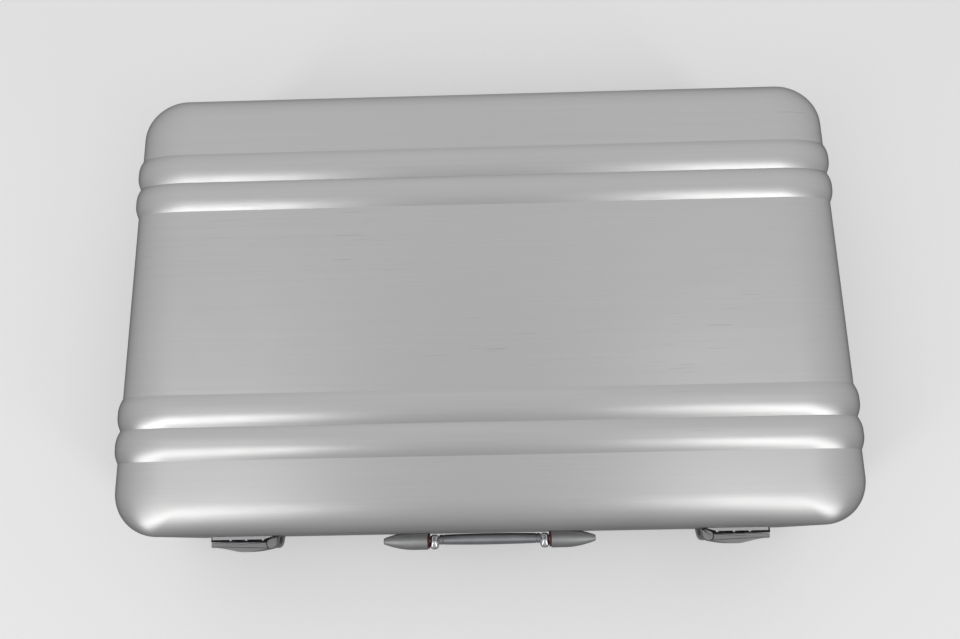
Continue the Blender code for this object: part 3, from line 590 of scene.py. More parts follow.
def frame_section(direction, lip):
    flange_out = SHELL_WALL + GAP
    flange_in, band_in, flange = flange_out + 2.0, 5.2, FRAME_BAND + 10.0
    bead = [(0.0, FRAME_BAND), (0.0, 6.6), (0.45, 6.2), (0.45, 5.8), (0.0, 5.4)]
    section = [(0.0, GAP), *lip, (band_in, GAP), (band_in, FRAME_BAND), (flange_in, FRAME_BAND)]
    section += [(flange_in, flange), (flange_out, flange), (flange_out, FRAME_BAND), *bead]
    return [(inset, PARTING + direction * z) for inset, z in fillet(section, 0.7)]


def frames():
    groove = [(1.5, GAP), (1.5, 2.8), (3.7, 2.8), (3.7, GAP)]
    tongue = [(2.1, GAP), (2.1, -1.2), (3.1, -1.2), (3.1, GAP)]
    rim("base_rim", frame_section(-1, groove), "frame_aluminium", "base", ("base_frame",))
    rim("lid_rim", frame_section(1, tongue), "frame_aluminium", "lid", ("lid_frame",))


# ---- handle ----
def smooth_curve(points, per_span=5, closed=True):
    """A Catmull-Rom curve through the points."""
    made = []
    count = len(points)
    last = count - 1
    for i in range(count if closed else last):
        spots = [(i + k) % count if closed else min(max(i + k, 0), last) for k in (-1, 0, 1, 2)]
        p0, p1, p2, p3 = (Vector(points[spot]) for spot in spots)
        linear, square, cube = p2 - p0, 2 * p0 - 5 * p1 + 4 * p2 - p3, 3 * p1 - p0 - 3 * p2 + p3
        for step in range(per_span):
            t = step / per_span
            made.append(tuple(0.5 * (2 * p1 + linear * t + square * t * t + cube * t**3)))
    if not closed:
        made.append(tuple(points[-1]))
    return made


def inset_outline(outline, distance):
    """Each point of an outline moved inwards along its normal."""
    made = []
    count = len(outline)
    area = sum(a[0] * b[1] - b[0] * a[1] for a, b in zip(outline, outline[1:] + outline[:1]))
    turn = 1 if area > 0 else -1
    for i in range(count):
        tangent = Vector(outline[(i + 1) % count]) - Vector(outline[i - 1])
        tangent.normalize()
        step = turn * distance
        made.append((outline[i][0] - step * tangent.y, outline[i][1] + step * tangent.x))
    return made


def arm_outline():
    leg = GRIP_DROP + GRIP_HEIGHT / 2 - 1.5
    offsets = [(4.3, 0.0), (4.2, -10.0), (4.1, -22.0), (4.0, -leg + 4), (2.6, -leg), (-1.4, -leg)]
    offsets += [(-2.9, -leg + 4), (-3.2, -30.0), (-3.5, -22.0), (-4.6, -12.0), (-6.2, -4.5), (-6.5, 0.0)]
    offsets += [(-5.6, 3.1), (-3.1, 4.3), (0.0, 4.5), (3.1, 3.2)]
    return smooth_curve([(HANDLE_AXIS[0] + y, HANDLE_AXIS[1] + z) for y, z in offsets])


RIM_LAND = 0.08


def soft_prism(outline, low, high, radius, steps=7, bm=None, axis="X"):
    """A prism along an axis whose two rims are rounded to that radius."""
    rings = []
    for end, direction in ((low, 1), (high, -1)):
        part = []
        # The first ring is a narrow flat one inside the rim, so that the flat end is shaded flat.
        stages = [(radius + RIM_LAND, end)]
        for cosine, sine in quarter(steps):
            stages.append((radius * (1 - sine), end + direction * radius * (1 - cosine)))
        for inset, along in stages:
            part.append([place(u, v, along, axis) for u, v in inset_outline(outline, inset)])
        rings += part[::direction]
    return loft(rings, bm=bm)


def bullet_profile():
    """(radius, x) of a handle mount: a small rounding, a straight barrel and a long taper to a flat tip."""
    rounding, chamfer = 0.6, 0.4
    inner, outer = MOUNT_INNER, MOUNT_INNER + MOUNT_LENGTH
    profile = [(0.4, inner), (MOUNT_RADIUS - rounding, inner)]
    for cosine, sine in quarter(5, 1):
        profile.append((MOUNT_RADIUS - rounding * (1 - sine), inner + rounding * (1 - cosine)))
    for step in range(1, 29):
        share = step / 28
        radius = MOUNT_RADIUS - (MOUNT_RADIUS - MOUNT_TIP_RADIUS) * share**1.9
        profile.append((radius, inner + MOUNT_STRAIGHT + (MOUNT_LENGTH - chamfer - MOUNT_STRAIGHT) * share))
    return profile + [(MOUNT_TIP_RADIUS - chamfer, outer), (0.3, outer)]


def handle():
    for side, label in SIDES:
        bullet = turned(bullet_profile(), HANDLE_AXIS, "X", 56)
        for vert in bullet.verts:
            vert.co.y = min(vert.co.y, FRONT - GAP)
        replaces = (f"handle_mount_{label}",)
        make_object(f"bullet_{label}", mirror(bullet, side), "satin_casting", "base", replaces=replaces)
        arm = soft_prism(arm_outline(), ARM_INNER, ARM_OUTER, 2.5)
        start, end = SPLAY_DROPS
        for vert in arm.verts:
            drop = min(max(HANDLE_AXIS[1] - vert.co.z, start), end)
            vert.co.x += ARM_SPLAY * (drop - start) / (end - start)
        pivot = [(PIVOT_RADIUS, ARM_OUTER - 1), (PIVOT_RADIUS, MOUNT_INNER - 0.1)]
        turned(pivot, HANDLE_AXIS, "X", 32, bm=arm)
        replaces = (f"handle_arm_{label}",)
        make_object(f"elbow_{label}", mirror(arm, side), "polished_chrome", "handle", replaces=replaces)
    grip()


def grip():
    """The hand grip: a flat oval that is fuller in the middle, with a fine ferrule groove near each end."""
    end = ARM_INNER + ARM_SPLAY - GAP
    middle = (HANDLE_AXIS[0] + GRIP_SETBACK, HANDLE_AXIS[1] - GRIP_DROP)
    ferrule = [0.90, 0.91, 0.915, 0.925, 0.93, 0.94, 0.992, 1.0]
    stations = [-share for share in reversed(ferrule)]
    stations += [-0.86 + 1.72 * i / 30 for i in range(31)] + ferrule
    rings = []
    for share in stations:
        fullness = 1 - 0.14 * share**2
        trim = 0.0
        if 0.912 < abs(share) < 0.928:
            trim = 0.7
        if abs(share) > 0.995:
            trim = 0.5
        ring = []
        half = GRIP_THICK / 2 * fullness - trim, GRIP_HEIGHT / 2 * fullness - trim
        for turn in circle((0.0, 0.0), 1.0, 48):
            y, z = (m + h * math.copysign(abs(t) ** 0.75, t) for m, h, t in zip(middle, half, turn))
            ring.append((share * end, y, z))
        rings.append(ring)
    make_object("grip", loft(rings), "grip_casting", "handle", ("handle_grip",), 50.0)


# ---- latches ----
def on_wall(outline):
    """(x, distance in front of the wall) pairs as (x, y) points."""
    return [(x, FRONT - out) for x, out in outline]


def nose_outline(beside_tab):
    """The nose from above. Beside the keeper's tab it stays clear of the tab's slanted face."""
    x, out = LEVER_PIVOT
    points = []
    for step in range(34):
        angle = math.radians(-70 + 220 * step / 33)
        points.append((x + NOSE_RADIUS * math.cos(angle), out + NOSE_RADIUS * math.sin(angle)))
    points += smooth_curve([points[-1], *NOSE_FRONT], 4, closed=False)[1:]
    if beside_tab:
        (x0, out0), (x1, out1) = TAB_CLEARANCE
        return [(px, max(front, out0 + (px - x0) * (out1 - out0) / (x1 - x0))) for px, front in points]
    return [*points, (LATCH_INNER, GAP), (x + 2.5, GAP)]


def lever_outline():
    """The lever from above: straight behind, full in front, and hollowed at its inner end round the nose."""
    x, out = LEVER_PIVOT
    reach = NOSE_RADIUS + GAP
    front = smooth_curve(LEVER_FRONT, 5, closed=False)
    back = [(LATCH_OUTER + (161.5 - LATCH_OUTER) * k / 12, LEVER_BACK) for k in range(13)]
    hollow = []
    for step in range(17):
        angle = math.radians(-13.3 + 71.3 * step / 16)
        hollow.append((x + reach * math.cos(angle), out + reach * math.sin(angle)))
    return front + back + hollow


def latches():
    for side, label in SIDES:
        lever = soft_prism(on_wall(lever_outline()), LEVER_BOTTOM, LEVER_TOP, 0.45, 4, axis="Z")
        x, pivot_y = LEVER_PIVOT[0], FRONT - LEVER_PIVOT[1]
        turned([(KNUCKLE_RADIUS, z) for z in KNUCKLE], (x, pivot_y), "Z", 40, bm=lever)
        web = on_wall([(x, 7.0), (x + 5.0, 7.0), (x + 5.0, 4.5), (x, 4.5)])
        soft_prism(web, *KNUCKLE, 0.2, 2, bm=lever, axis="Z")
        node = f"latch_lever_{label}"
        lever = mirror(lever, side)
        make_object(f"lever_{label}", lever, "lever_casting", node, (node,), 30.0)

        nose = soft_prism(on_wall(nose_outline(True)), KNUCKLE[1] + GAP, LEVER_TOP, 0.45, 4, axis="Z")
        soft_prism(on_wall(nose_outline(False)), LEVER_BOTTOM, KNUCKLE[0] - GAP, 0.3, 4, bm=nose, axis="Z")
        skin = on_wall([(LATCH_INNER, 0.8), (x + 2.5, 0.8), (x + 2.5, GAP), (LATCH_INNER, GAP)])
        soft_prism(skin, KNUCKLE[0] - 1.0, KNUCKLE[1] + 0.2, 0.1, 2, bm=nose, axis="Z")
        nose, node = mirror(nose, side), f"latch_nose_{label}"
        make_object(f"nose_{label}", nose, "lever_casting", "base", (node,), 30.0)


# ---- soft goods ----
LINER_OUT, LINER_IN, LINER_CLEAR = 2.2, 3.8, (5.6, 7.2)
FLOOR = PARTING - BASE_DEPTH + LINER_IN + GAP
CEILING = PARTING + LID_DEPTH - LINER_IN - GAP
PAD_HALF, PAD_THICK, PAD_SEAM = (213.0, 137.0), 6.8, 3.6
PAD_CELLS, PAD_CORNER, PAD_SPACING = (6, 4), 16.0, 5.0
PAD_FULLNESS = 0.012  # how much more cloth there is than the flat cell needs
BOARD_HALF, BOARD_THICK = (216.0, 132.0), 3.0
POCKET_X, POCKET_Y, POCKET_DEPTH = (-210.0, 210.0), (-62.0, 132.0), 12.0
POCKET_FACE = CEILING - BOARD_THICK - GAP - POCKET_DEPTH
SMALL_TOP = POCKET_FACE - GAP
CARD_POCKET = ((-196.0, -76.0), (18.0, 116.0))
FOLIO_POCKET = ((-4.0, 196.0), (6.0, 116.0))
PEN_LOOPS = ((-64.0, -16.0), (40.0, 62.0))
PEN_X, PEN_DROP, LOOP_THICK = (-54.0, -40.0, -26.0), 5.0, 10.0


def shifted(outline, x, y):
    return [(px + x, py + y) for px, py in outline]


def panel(x, y, radius, profile, steps=8, bm=None):
    """A rounded panel. profile holds (inset, height) from one face over the edge to the other."""
    middle = (x[0] + x[1]) / 2, (y[0] + y[1]) / 2
    half = (x[1] - x[0]) / 2, (y[1] - y[0]) / 2
    rings = []
    for inset, height in profile:
        outline = rounded(half[0] - inset, half[1] - inset, max(radius - inset, 0.6), steps)
        rings.append([(px, py, height) for px, py in shifted(outline, *middle)])
    return loft(rings, bm=bm)


def padded_profile(back, face, seam, dip, crown):
    """A panel's profile: flat back, rolled edge, stitched seam line and a face that swells inside it."""
    direction = 1 if face > back else -1
    thick = abs(face - back)
    roll = thick / 2
    made = [(roll + 3.0, back), (roll, back)]
    for step in range(1, 8):
        angle = math.pi * step / 8
        made.append((roll * (1 - math.sin(angle)), back + direction * roll * (1 - math.cos(angle))))
    made += [(roll, face), (seam - 0.9, face), (seam - 0.35, face - direction * 0.6 * dip)]
    made += [(seam, face - direction * dip), (seam + 0.35, face - direction * 0.6 * dip)]
    for step in range(1, 9):
        share = step / 8
        made.append((seam + 0.9 + 16.0 * share, face + direction * crown * math.sin(math.pi / 2 * share)))
    return made


def tube_along(path, radius, closed=True, steps=10, bm=None):
    """A round welt along a path that keeps nearly level."""
    rings = []
    for i, point in enumerate(path):
        before = path[i - 1] if closed or i else point
        after = path[(i + 1) % len(path)] if closed or i + 1 < len(path) else point
        tangent = (Vector(after) - Vector(before)).normalized()
        side = tangent.cross(Vector((0.0, 0.0, 1.0))).normalized()
        up = side.cross(tangent)
        ring = []
        for u, v in circle((0.0, 0.0), radius, steps):
            ring.append(tuple(Vector(point) + side * u + up * v))
        rings.append(ring)
    return loft(rings, closed, bm=bm)


def stitches(bm, path, z, closed=True, length=2.7, pitch=4.0, thick=0.3):
    """A row of stitches: short threads laid end to end along a level path, each fuller in its middle."""
    points = [Vector(p) for p in path]
    if closed:
        points.append(points[0])
    travelled = [0.0]
    for near, far in zip(points, points[1:]):
        travelled.append(travelled[-1] + (far - near).length)
    count = max(1, round(travelled[-1] / pitch))
    leg = 0
    for k in range(count):
        at = (k + 0.5) * travelled[-1] / count
        while travelled[leg + 1] < at:
            leg += 1
        near, far = points[leg], points[leg + 1]
        along = (far - near).normalized()
        middle = near + along * (at - travelled[leg])
        across = Vector((-along.y, along.x))
        rings = []
        for place_at, full in ((-0.5, 0.45), (-0.36, 0.85), (0.0, 1.0), (0.36, 0.85), (0.5, 0.45)):
            ring = []
            for u, v in circle((0.0, 0.0), thick * full, 6):
                spot = middle + along * (place_at * length) + across * u
                ring.append((spot.x, spot.y, z + v))
            rings.append(ring)
        loft(rings, bm=bm)


def liner_outlines(depth, offset, clear, steps=14):
    """(outline, distance from the parting line) of one face of a lining tray, from its rim to its floor."""
    levels = [(clear, clear, 1.2), (clear, clear, 4.0), (clear, clear, depth - EDGE_DROP - 8.0)]
    for cosine, sine in quarter(steps):
        inset_x = max(clear, offset + (EDGE_SIDE - offset) * (1 - cosine))
        inset_y = max(clear, offset + (EDGE_FRONT - offset) * (1 - cosine))
        levels.append((inset_x, inset_y, depth - offset - (EDGE_DROP - offset) * (1 - sine)))
    made = []
    for inset_x, inset_y, rise in levels:
        outline = rounded(HALF_X - inset_x, HALF_Y - inset_y, CORNER_RADIUS - 0.45 * inset_x, 12)
        made.append((outline, rise))
    return made


def liners():
    for body, depth, direction in (("base", BASE_DEPTH, -1), ("lid", LID_DEPTH, 1)):
        faces = []
        for offset, clear in ((LINER_OUT, LINER_CLEAR[0]), (LINER_IN, LINER_CLEAR[1])):
            rings = []
            for outline, rise in liner_outlines(depth, offset, clear):
                rings.append([(x, y, PARTING + direction * rise) for x, y in outline])
            faces.append(rings)
        tray = loft(list(reversed(faces[0])) + faces[1])
        make_object(f"{body}_lining", tray, "grey_lining", body, replaces=(f"{body}_liner",))
        middle = sum(LINER_CLEAR) / 2
        outline = rounded(HALF_X - middle, HALF_Y - middle, CORNER_RADIUS - 0.45 * middle, 16)
        welt = tube_along([(x, y, PARTING + direction * 1.15) for x, y in outline], 0.8)
        make_object(f"{body}_piping", welt, "black_leather", body)


def pad_rows(half, cells, spacing):
    """Positions across the pad that fall on each seam, and about evenly between them."""
    edge = half - 6.0
    seams = [-edge + 2 * edge * k / cells for k in range(cells + 1)]
    per_cell = round(2 * edge / cells / spacing)
    rows = [-half, -half + 1.5, -half + 3.5]
    for near, far in zip(seams, seams[1:]):
        rows += [near + (far - near) * k / per_cell for k in range(per_cell)]
    return rows + [edge, half - 3.5, half - 1.5, half], seams


def swell(obj, held, limit):
    """Inflates the cloth of obj between its held points, which don't move, and applies the result."""
    scene = bpy.context.scene
    group = obj.vertex_groups.new(name="held")
    group.add(held, 1.0, "REPLACE")
    cloth = obj.modifiers.new("cloth", "CLOTH")
    cloth.settings.quality = 5
    cloth.settings.use_pressure = True
    cloth.settings.uniform_pressure_force = 4.0
    cloth.settings.shrink_min = -PAD_FULLNESS
    cloth.settings.effector_weights.gravity = 0.0
    cloth.settings.vertex_group_mass = "held"
    cloth.collision_settings.use_collision = False
    cloth.point_cache.frame_start, cloth.point_cache.frame_end = 1, 20
    for frame_number in range(1, 21):
        scene.frame_set(frame_number)
    evaluated = obj.evaluated_get(bpy.context.evaluated_depsgraph_get())
    rested = [vert.co.copy() for vert in evaluated.data.vertices]
    obj.modifiers.remove(cloth)
    scene.frame_set(1)
    for vert, place_at in zip(obj.data.vertices, rested):
        move = place_at - vert.co
        if move.length > limit * MM:
            move *= limit * MM / move.length
        vert.co += move
    obj.vertex_groups.remove(group)


def pad_corner(x, y):
    """A point of the pad's grid, drawn in near a corner so that the outline turns on PAD_CORNER."""
    square = PAD_HALF[0] - PAD_CORNER, PAD_HALF[1] - PAD_CORNER
    over = Vector((max(abs(x) - square[0], 0.0), max(abs(y) - square[1], 0.0)))
    if not (over.x and over.y):
        return x, y
    over *= max(over) / over.length
    return math.copysign(square[0] + over.x, x), math.copysign(square[1] + over.y, y)


def pad_sheets(bm, columns, rows):
    """The lower and the upper sheet of the pad as rows of vertices, joined round their borders."""
    sheets = []
    for z in (FLOOR, FLOOR + PAD_SEAM):
        sheets.append([[bm.verts.new((*pad_corner(x, y), z)) for x in columns] for y in rows])
    for sheet, turn in zip(sheets, (-1, 1)):
        for near, far in zip(sheet, sheet[1:]):
            for corners in zip(near, near[1:], far[1:], far):
                bm.faces.new(corners[::turn])
    border = []
    for sheet in sheets:
        around = sheet[0] + [line[-1] for line in sheet[1:-1]] + sheet[-1][::-1]
        border.append(around + [line[0] for line in reversed(sheet[1:-1])])
    bridge(bm, *border)
    return sheets, border


def floor_pad():
    """The quilted floor pad: two sheets sewn together in a grid, with wadding that swells the cells."""
    columns, seams_x = pad_rows(PAD_HALF[0], PAD_CELLS[0], PAD_SPACING)
    rows, seams_y = pad_rows(PAD_HALF[1], PAD_CELLS[1], PAD_SPACING)
    bm = bmesh.new()
    sheets, border = pad_sheets(bm, columns, rows)
    bm.verts.index_update()
    on_seam = {round(v, 3) for v in seams_x}, {round(v, 3) for v in seams_y}
    held = {vert.index for line in sheets[0] for vert in line} | {vert.index for vert in border[1]}
    sewn = set()
    for y, line in zip(rows, sheets[1]):
        for x, vert in zip(columns, line):
            beyond = abs(x) > seams_x[-1] or abs(y) > seams_y[-1]
            on_thread = round(x, 3) in on_seam[0] or round(y, 3) in on_seam[1]
            if beyond or on_thread:
                held.add(vert.index)
            if on_thread and not beyond:
                sewn.add(vert)
    # A creased seam keeps its valley sharp under the thread.
    crease = bm.edges.layers.float.new("crease_edge")
    for edge in bm.edges:
        if sewn.issuperset(edge.verts):
            edge[crease] = 1.0
    pad = make_object("floor_pad", bm, "pad_cloth", "base", ("base_floor_pad",), 180.0)
    swell(pad, sorted(held), PAD_THICK - PAD_SEAM)
    smooth = pad.modifiers.new("smooth", "SUBSURF")
    smooth.levels = smooth.render_levels = 1
    pad_trim(seams_x, seams_y)


def pad_trim(seams_x, seams_y):
    """The thread in the pad's seams and the welt round its edge."""
    rows_of_thread = bmesh.new()
    top = FLOOR + PAD_SEAM + 0.05
    for x in seams_x[1:-1]:
        stitches(rows_of_thread, [(x, seams_y[0]), (x, seams_y[-1])], top, closed=False)
    for y in seams_y[1:-1]:
        stitches(rows_of_thread, [(seams_x[0], y), (seams_x[-1], y)], top, closed=False)
    stitches(rows_of_thread, rounded(seams_x[-1], seams_y[-1], 10.0, 6), top)
    make_object("floor_pad_stitching", rows_of_thread, "thread", "base")
    outline = rounded(PAD_HALF[0] - 0.6, PAD_HALF[1] - 0.6, PAD_CORNER - 0.6, 12)
    welt = tube_along([(x, y, FLOOR + PAD_SEAM / 2) for x, y in outline], PAD_SEAM / 2 + 0.2)
    make_object("floor_pad_welt", welt, "black_leather", "base")


def organiser():
    """What the lid carries: a covered board, a bellows pocket for papers, two flap pockets and pen loops."""
    seam_thread = bmesh.new()
    board_face = CEILING - BOARD_THICK
    half_x, half_y = BOARD_HALF
    profile = padded_profile(CEILING, board_face, 4.5, 0.5, 0.0)
    board = panel((-half_x, half_x), (-half_y, half_y), 14.0, profile)
    board = make_object("organiser_panel", board, "black_leather", "lid", replaces=("organiser_board",))
    stitches(seam_thread, rounded(half_x - 4.5, half_y - 4.5, 9.5, 6), board_face + 0.25)

    sheet = padded_profile(POCKET_FACE + 2.2, POCKET_FACE + 0.25, 4.0, 0.4, 0.2)
    front = panel(POCKET_X, POCKET_Y, 10.0, sheet)
    bellows(front)
    hem = [(POCKET_X[0] + 12.0, POCKET_Y[0] + 1.4), (POCKET_X[1] - 12.0, POCKET_Y[0] + 1.4)]
    tube_along([(x, y, POCKET_FACE + 1.25) for x, y in hem], 1.25, closed=False, bm=front)
    pocket = make_object("paper_pocket", front, "black_leather", "lid", replaces=("document_pocket",))
    middle = (POCKET_Y[0] + POCKET_Y[1]) / 2
    outline = rounded(POCKET_X[1] - 4.0, (POCKET_Y[1] - POCKET_Y[0]) / 2 - 4.0, 6.0, 6)
    stitches(seam_thread, shifted(outline, 0.0, middle), POCKET_FACE + 0.5)

    snaps = bmesh.new()
    for name, node, (x, y) in (("card", "card_pocket", CARD_POCKET), ("folio", "folio_pocket", FOLIO_POCKET)):
        profile = padded_profile(SMALL_TOP, SMALL_TOP - 2.3, 3.2, 0.4, 0.5)
        bag = panel(x, y, 8.0, profile)
        flap_y = (y[0], y[0] + 0.4 * (y[1] - y[0]))
        cover = padded_profile(SMALL_TOP - 2.6, SMALL_TOP - 3.9, 2.6, 0.3, 0.0)
        panel((x[0] + 1.5, x[1] - 1.5), flap_y, 12.0, cover, 12, bm=bag)
        bag = make_object(f"{name}_wallet", bag, "black_leather", "lid", replaces=(node,))
        centre_x, centre_y = (x[0] + x[1]) / 2, (y[0] + y[1]) / 2
        outline = rounded((x[1] - x[0]) / 2 - 3.2, (y[1] - y[0]) / 2 - 3.2, 4.8, 6)
        stitches(seam_thread, shifted(outline, centre_x, centre_y), SMALL_TOP - 2.05, thick=0.26)
        half = (flap_y[1] - flap_y[0]) / 2
        outline = rounded((x[1] - x[0]) / 2 - 4.1, half - 2.6, 9.4, 6)
        stitches(seam_thread, shifted(outline, centre_x, flap_y[0] + half), SMALL_TOP - 3.72, thick=0.26)
        cap = [(0.2, SMALL_TOP - 4.9), (2.2, SMALL_TOP - 4.8), (3.4, SMALL_TOP - 4.5), (4.2, SMALL_TOP - 4.0)]
        turned(cap + [(4.4, SMALL_TOP - 3.7)], (centre_x, flap_y[1] - 9.0), "Z", 32, bm=snaps)
    make_object("pocket_snaps", snaps, "polished_chrome", "lid")
    make_object("organiser_stitching", seam_thread, "thread", "lid")
    pen_loops()


def bellows(bm):
    """The pleated sides of the paper pocket, round its two ends and its back."""
    low, high = POCKET_FACE + 1.9, POCKET_FACE + POCKET_DEPTH
    pleats = [(0.9, 0.0), (4.2, 0.14), (1.1, 0.32), (4.2, 0.5), (1.1, 0.68), (4.2, 0.86), (0.9, 1.0)]
    section = [(inset, low + (high - low) * share) for inset, share in pleats]
    section += [(inset + 0.8, z) for inset, z in reversed(section)]
    section = fillet(section, 0.8, 3)
    half_x = POCKET_X[1]
    half_y = (POCKET_Y[1] - POCKET_Y[0]) / 2
    middle = (POCKET_Y[0] + POCKET_Y[1]) / 2
    rings = []
    stops = [(half_x, -half_y + 1.0), (half_x, half_y - 10.0)]
    turns = [math.pi / 2 * k / 8 for k in range(1, 8)]
    for inset, z in section:
        line = [(half_x - inset, stops[0][1] + middle, z), (half_x - inset, stops[1][1] + middle, z)]
        reach = 10.0 - inset
        for angle in turns:
            x, y = half_x - 10.0 + reach * math.cos(angle), half_y - 10.0 + reach * math.sin(angle)
            line.append((x, y + middle, z))
        line.append((half_x - 10.0, half_y - inset + middle, z))
        line += [(-x, y, z) for x, y, z in reversed(line)]
        rings.append(line)
    loft([list(ring) for ring in zip(*rings)], bm=bm)


def pen_loops():
    """An elastic band sewn down between three pen-sized loops."""
    (x0, x1), (y0, y1) = PEN_LOOPS
    radius = LOOP_THICK - PEN_DROP - 0.4
    outer, inner = [(x0 + 0.5, SMALL_TOP - 1.4)], [(x0 + 0.5, SMALL_TOP - 0.1)]
    for middle in PEN_X:
        for step in range(17):
            angle = math.pi * (1.16 - 1.32 * step / 16)
            sine, cosine = math.sin(angle), math.cos(angle)
            rise = PEN_DROP + (radius + 0.3) * sine
            outer.append((middle + (radius + 0.3) * cosine, SMALL_TOP - max(1.4, rise)))
            rise = PEN_DROP + (radius - 0.9) * sine
            inner.append((middle + (radius - 0.9) * cosine, SMALL_TOP - max(0.1, rise)))
    outer.append((x1 - 0.5, SMALL_TOP - 1.4))
    inner.append((x1 - 0.5, SMALL_TOP - 0.1))
    outline = outer + inner[::-1]
    bm = loft([[(x, y, z) for x, z in outline] for y in (y0, y0 + 0.5, y1 - 0.5, y1)])
    band = make_object("pen_band", bm, "webbing", "lid", replaces=("pen_loops",))


# ---- small hardware ----
def rivets(name, body, places, radius, along, height):
    """Domed rivet heads, each with a rolled foot, standing back from along by height."""
    bm = bmesh.new()
    foot = along + 0.2
    profile = [(radius * 0.96, along), (radius, foot)]
    for cosine, sine in quarter(8, 1):
        profile.append((max(0.08, radius * cosine), foot + (height - 0.2) * sine))
    for centre in places:
        turned(profile, centre, "Y", 28, bm=bm)
    make_object(name, bm, "stainless", body)


def hardware():
    for side, label in SIDES:
        for body, drop in (("base", -16.0), ("lid", 16.0)):
            spots = [(side * HINGE_X + offset, PARTING + drop) for offset in (-22.0, 0.0, 22.0)]
            rivets(f"hinge_{body}_rivets_{label}", body, spots, 2.3, BACK + GAP + LEAF_THICK, 1.0)
        for body, height in (("base", 30.0), ("lid", PARTING + 18.0)):
            spot = (side * FOOT_X, height)
            rivets(f"foot_screw_{body}_{label}", body, [spot], 2.4, BACK + FOOT_STANDS, 0.5)


def dial_numbers():
    """Ten figures round each wheel, upright when seen from the front of the case."""
    radius = DIAL_RADIUS + 0.03
    curve = bpy.data.curves.new("figure", "FONT")
    curve.size = 3.0
    curve.align_x, curve.align_y = "CENTER", "CENTER"
    curve.offset = 0.03
    figure = bpy.data.objects.new("figure", curve)
    bpy.context.scene.collection.objects.link(figure)
    shapes = []
    for number in range(10):
        curve.body = str(number)
        bpy.context.view_layer.update()
        evaluated = figure.evaluated_get(bpy.context.evaluated_depsgraph_get())
        mesh = evaluated.to_mesh()
        points = [vert.co.copy() for vert in mesh.vertices]
        centre = (max(p.y for p in points) + min(p.y for p in points)) / 2
        shapes.append(([(p.x, p.y - centre) for p in points], [tuple(f.vertices) for f in mesh.polygons]))
        evaluated.to_mesh_clear()
    bpy.data.objects.remove(figure)
    bpy.data.curves.remove(curve)
    for side, label in SIDES:
        for wheel in (-1, 0, 1):
            bm = bmesh.new()
            for number, (points, faces) in enumerate(shapes):
                made = []
                for u, v in points:
                    angle = math.tau * number / 10 + v / radius
                    x = side * (DIAL_MIDDLE + wheel * DIAL_PITCH) + u
                    y = DIAL_AXIS[0] - radius * math.cos(angle)
                    made.append(bm.verts.new((x, y, DIAL_AXIS[1] + radius * math.sin(angle))))
                for face in faces:
                    bm.faces.new([made[i] for i in face])
            spot = f"{label}_{wheel + 2}"
            make_object(f"figures_{spot}", bm, "number_ink", f"dial_{spot}", smooth=False)


# ---- CAD nodes that stay ----
def finish_node(node, finish, width=0.25, segments=2):
    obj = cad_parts[node]
    obj.data.materials.clear()
    obj.data.materials.append(FINISH[finish])
    if width:
        bevel(obj, width, segments, 40.0)
    return obj


def kept_nodes():
    for label in ("left", "right"):
        # The latch plates take the near-black painted shade for the gap behind the levers.
        finish_node(f"latch_plate_{label}", "gap_painted_shade", 0.25, 3)
        finish_node(f"latch_keeper_{label}", "keeper_plate", 0.2)
        finish_node(f"handle_bushing_{label}", "oxblood_nylon", 0.0)
        for node in ("hinge_base_leaf", "hinge_lid_leaf"):
            finish_node(f"{node}_{label}", "stainless", 0.2)
        for node in ("hinge_pin", "latch_pin", "dial_axle"):
            finish_node(f"{node}_{label}", "stainless", 0.15)
        for node in ("stay_base_bracket", "stay_lid_bracket", "stay_lower_link", "stay_upper_link"):
            finish_node(f"{node}_{label}", "stainless", 0.2)
        for part in ("base", "lid"):
            finish_node(f"foot_{part}_{label}", "black_rubber", 0.4, 3)
        for wheel in (1, 2, 3):
            finish_node(f"dial_{label}_{wheel}", "stainless", 0.2)
    finish_node("frame_gasket", "black_rubber", 0.0)


# ---- studio ----
# Brightness of the surroundings by height, from straight down (0) over the horizon (0.5) to straight up (1).
SKY = ((0.0, 0.30), (0.45, 0.37), (0.62, 0.45), (0.85, 0.56), (1.0, 0.585))
SKY_BEHIND = 0.3  # how much brighter the surroundings are behind the case, and darker in front of it
LIGHTS = (
    ("key_left", (-1.02, -0.90, 1.35), 5.3, (0.3, 1.7)),
    ("key_right", (0.92, -0.90, 1.35), 4.8, (0.3, 1.7)),
)
# The camera looks nearly straight down from over the front edge: a heading, a tilt and a small roll,
# in radians.
FOCAL_LENGTH = 32.38875
CAMERA_PLACE = (0.00718, -0.17045, 0.72439)
CAMERA_TURNS = ((0.0654, "Z"), (0.2547, "X"), (-0.0859, "Z"))


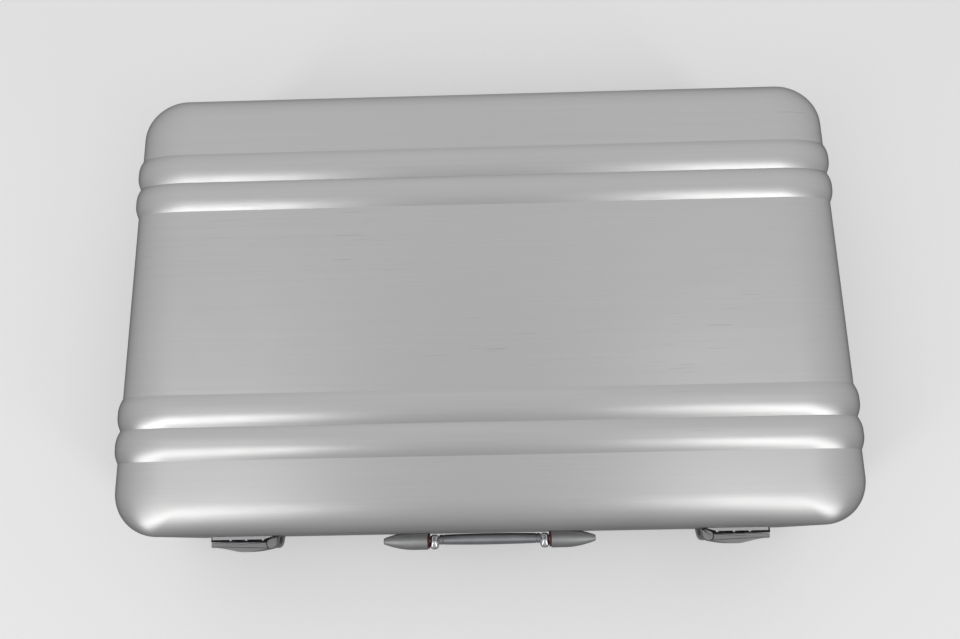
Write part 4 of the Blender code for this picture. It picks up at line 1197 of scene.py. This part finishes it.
def studio():
    scene = bpy.context.scene
    scene.view_settings.view_transform = "Standard"
    floor = bmesh.new()
    bmesh.ops.create_grid(floor, x_segments=1, y_segments=1, size=6.0)
    mesh = bpy.data.meshes.new("floor")
    floor.to_mesh(mesh)
    floor.free()
    tree = Tree("mat_floor", (0.93, 0.93, 0.93), 0.0, 0.9)
    tree.set("Emission Color", (1.0, 1.0, 1.0, 1.0))
    tree.set("Emission Strength", 0.12)
    mesh.materials.append(tree.material)
    stage = bpy.data.objects.new("floor", mesh)
    stage.location = (0.0, 0.0, -0.0002)
    scene.collection.objects.link(stage)
    stage.visible_glossy = False

    world = bpy.data.worlds.new("studio")
    scene.world = world
    world.use_nodes = True
    nodes, links = world.node_tree.nodes, world.node_tree.links
    background = nodes["Background"]
    where = nodes.new("ShaderNodeTexCoord")
    split = nodes.new("ShaderNodeSeparateXYZ")
    height = nodes.new("ShaderNodeMapRange")
    height.inputs["From Min"].default_value = -1.0
    ramp = nodes.new("ShaderNodeValToRGB")
    for _ in SKY[2:]:
        ramp.color_ramp.elements.new(0.5)
    for element, (position, level) in zip(ramp.color_ramp.elements, SKY):
        element.position = position
        element.color = (level, level, 1.01 * level, 1.0)
    links.new(where.outputs["Generated"], split.inputs["Vector"])
    links.new(split.outputs["Z"], height.inputs["Value"])
    links.new(height.outputs["Result"], ramp.inputs["Fac"])
    links.new(ramp.outputs["Color"], background.inputs["Color"])
    behind = nodes.new("ShaderNodeMath")
    behind.operation = "MULTIPLY_ADD"
    links.new(split.outputs["Y"], behind.inputs[0])
    behind.inputs[1].default_value = SKY_BEHIND
    behind.inputs[2].default_value = 1.0
    links.new(behind.outputs["Value"], background.inputs["Strength"])

    for name, place_at, power, size in LIGHTS:
        light = bpy.data.lights.new(name, "AREA")
        light.energy = power
        light.shape = "RECTANGLE"
        light.size, light.size_y = size
        lamp = bpy.data.objects.new(name, light)
        lamp.location = place_at
        aim = Vector((0.0, 0.0, 0.1)) - Vector(place_at)
        lamp.rotation_euler = aim.to_track_quat("-Z", "Y").to_euler()
        scene.collection.objects.link(lamp)

    lens = bpy.data.cameras.new("camera")
    lens.sensor_width = 36.0
    lens.lens = FOCAL_LENGTH
    lens.clip_start = 0.01
    camera = bpy.data.objects.new("camera", lens)
    pose = Matrix.Translation(CAMERA_PLACE)
    for angle, axis in CAMERA_TURNS:
        pose = pose @ Matrix.Rotation(angle, 4, axis)
    camera.matrix_world = pose
    scene.collection.objects.link(camera)
    scene.camera = camera


studio()
shell("base_skin", BASE_DEPTH, -1, "base")
shell("lid_skin", LID_DEPTH, 1, "lid")
frames()
handle()
latches()
kept_nodes()
hardware()
dial_numbers()
liners()
organiser()
floor_pad()
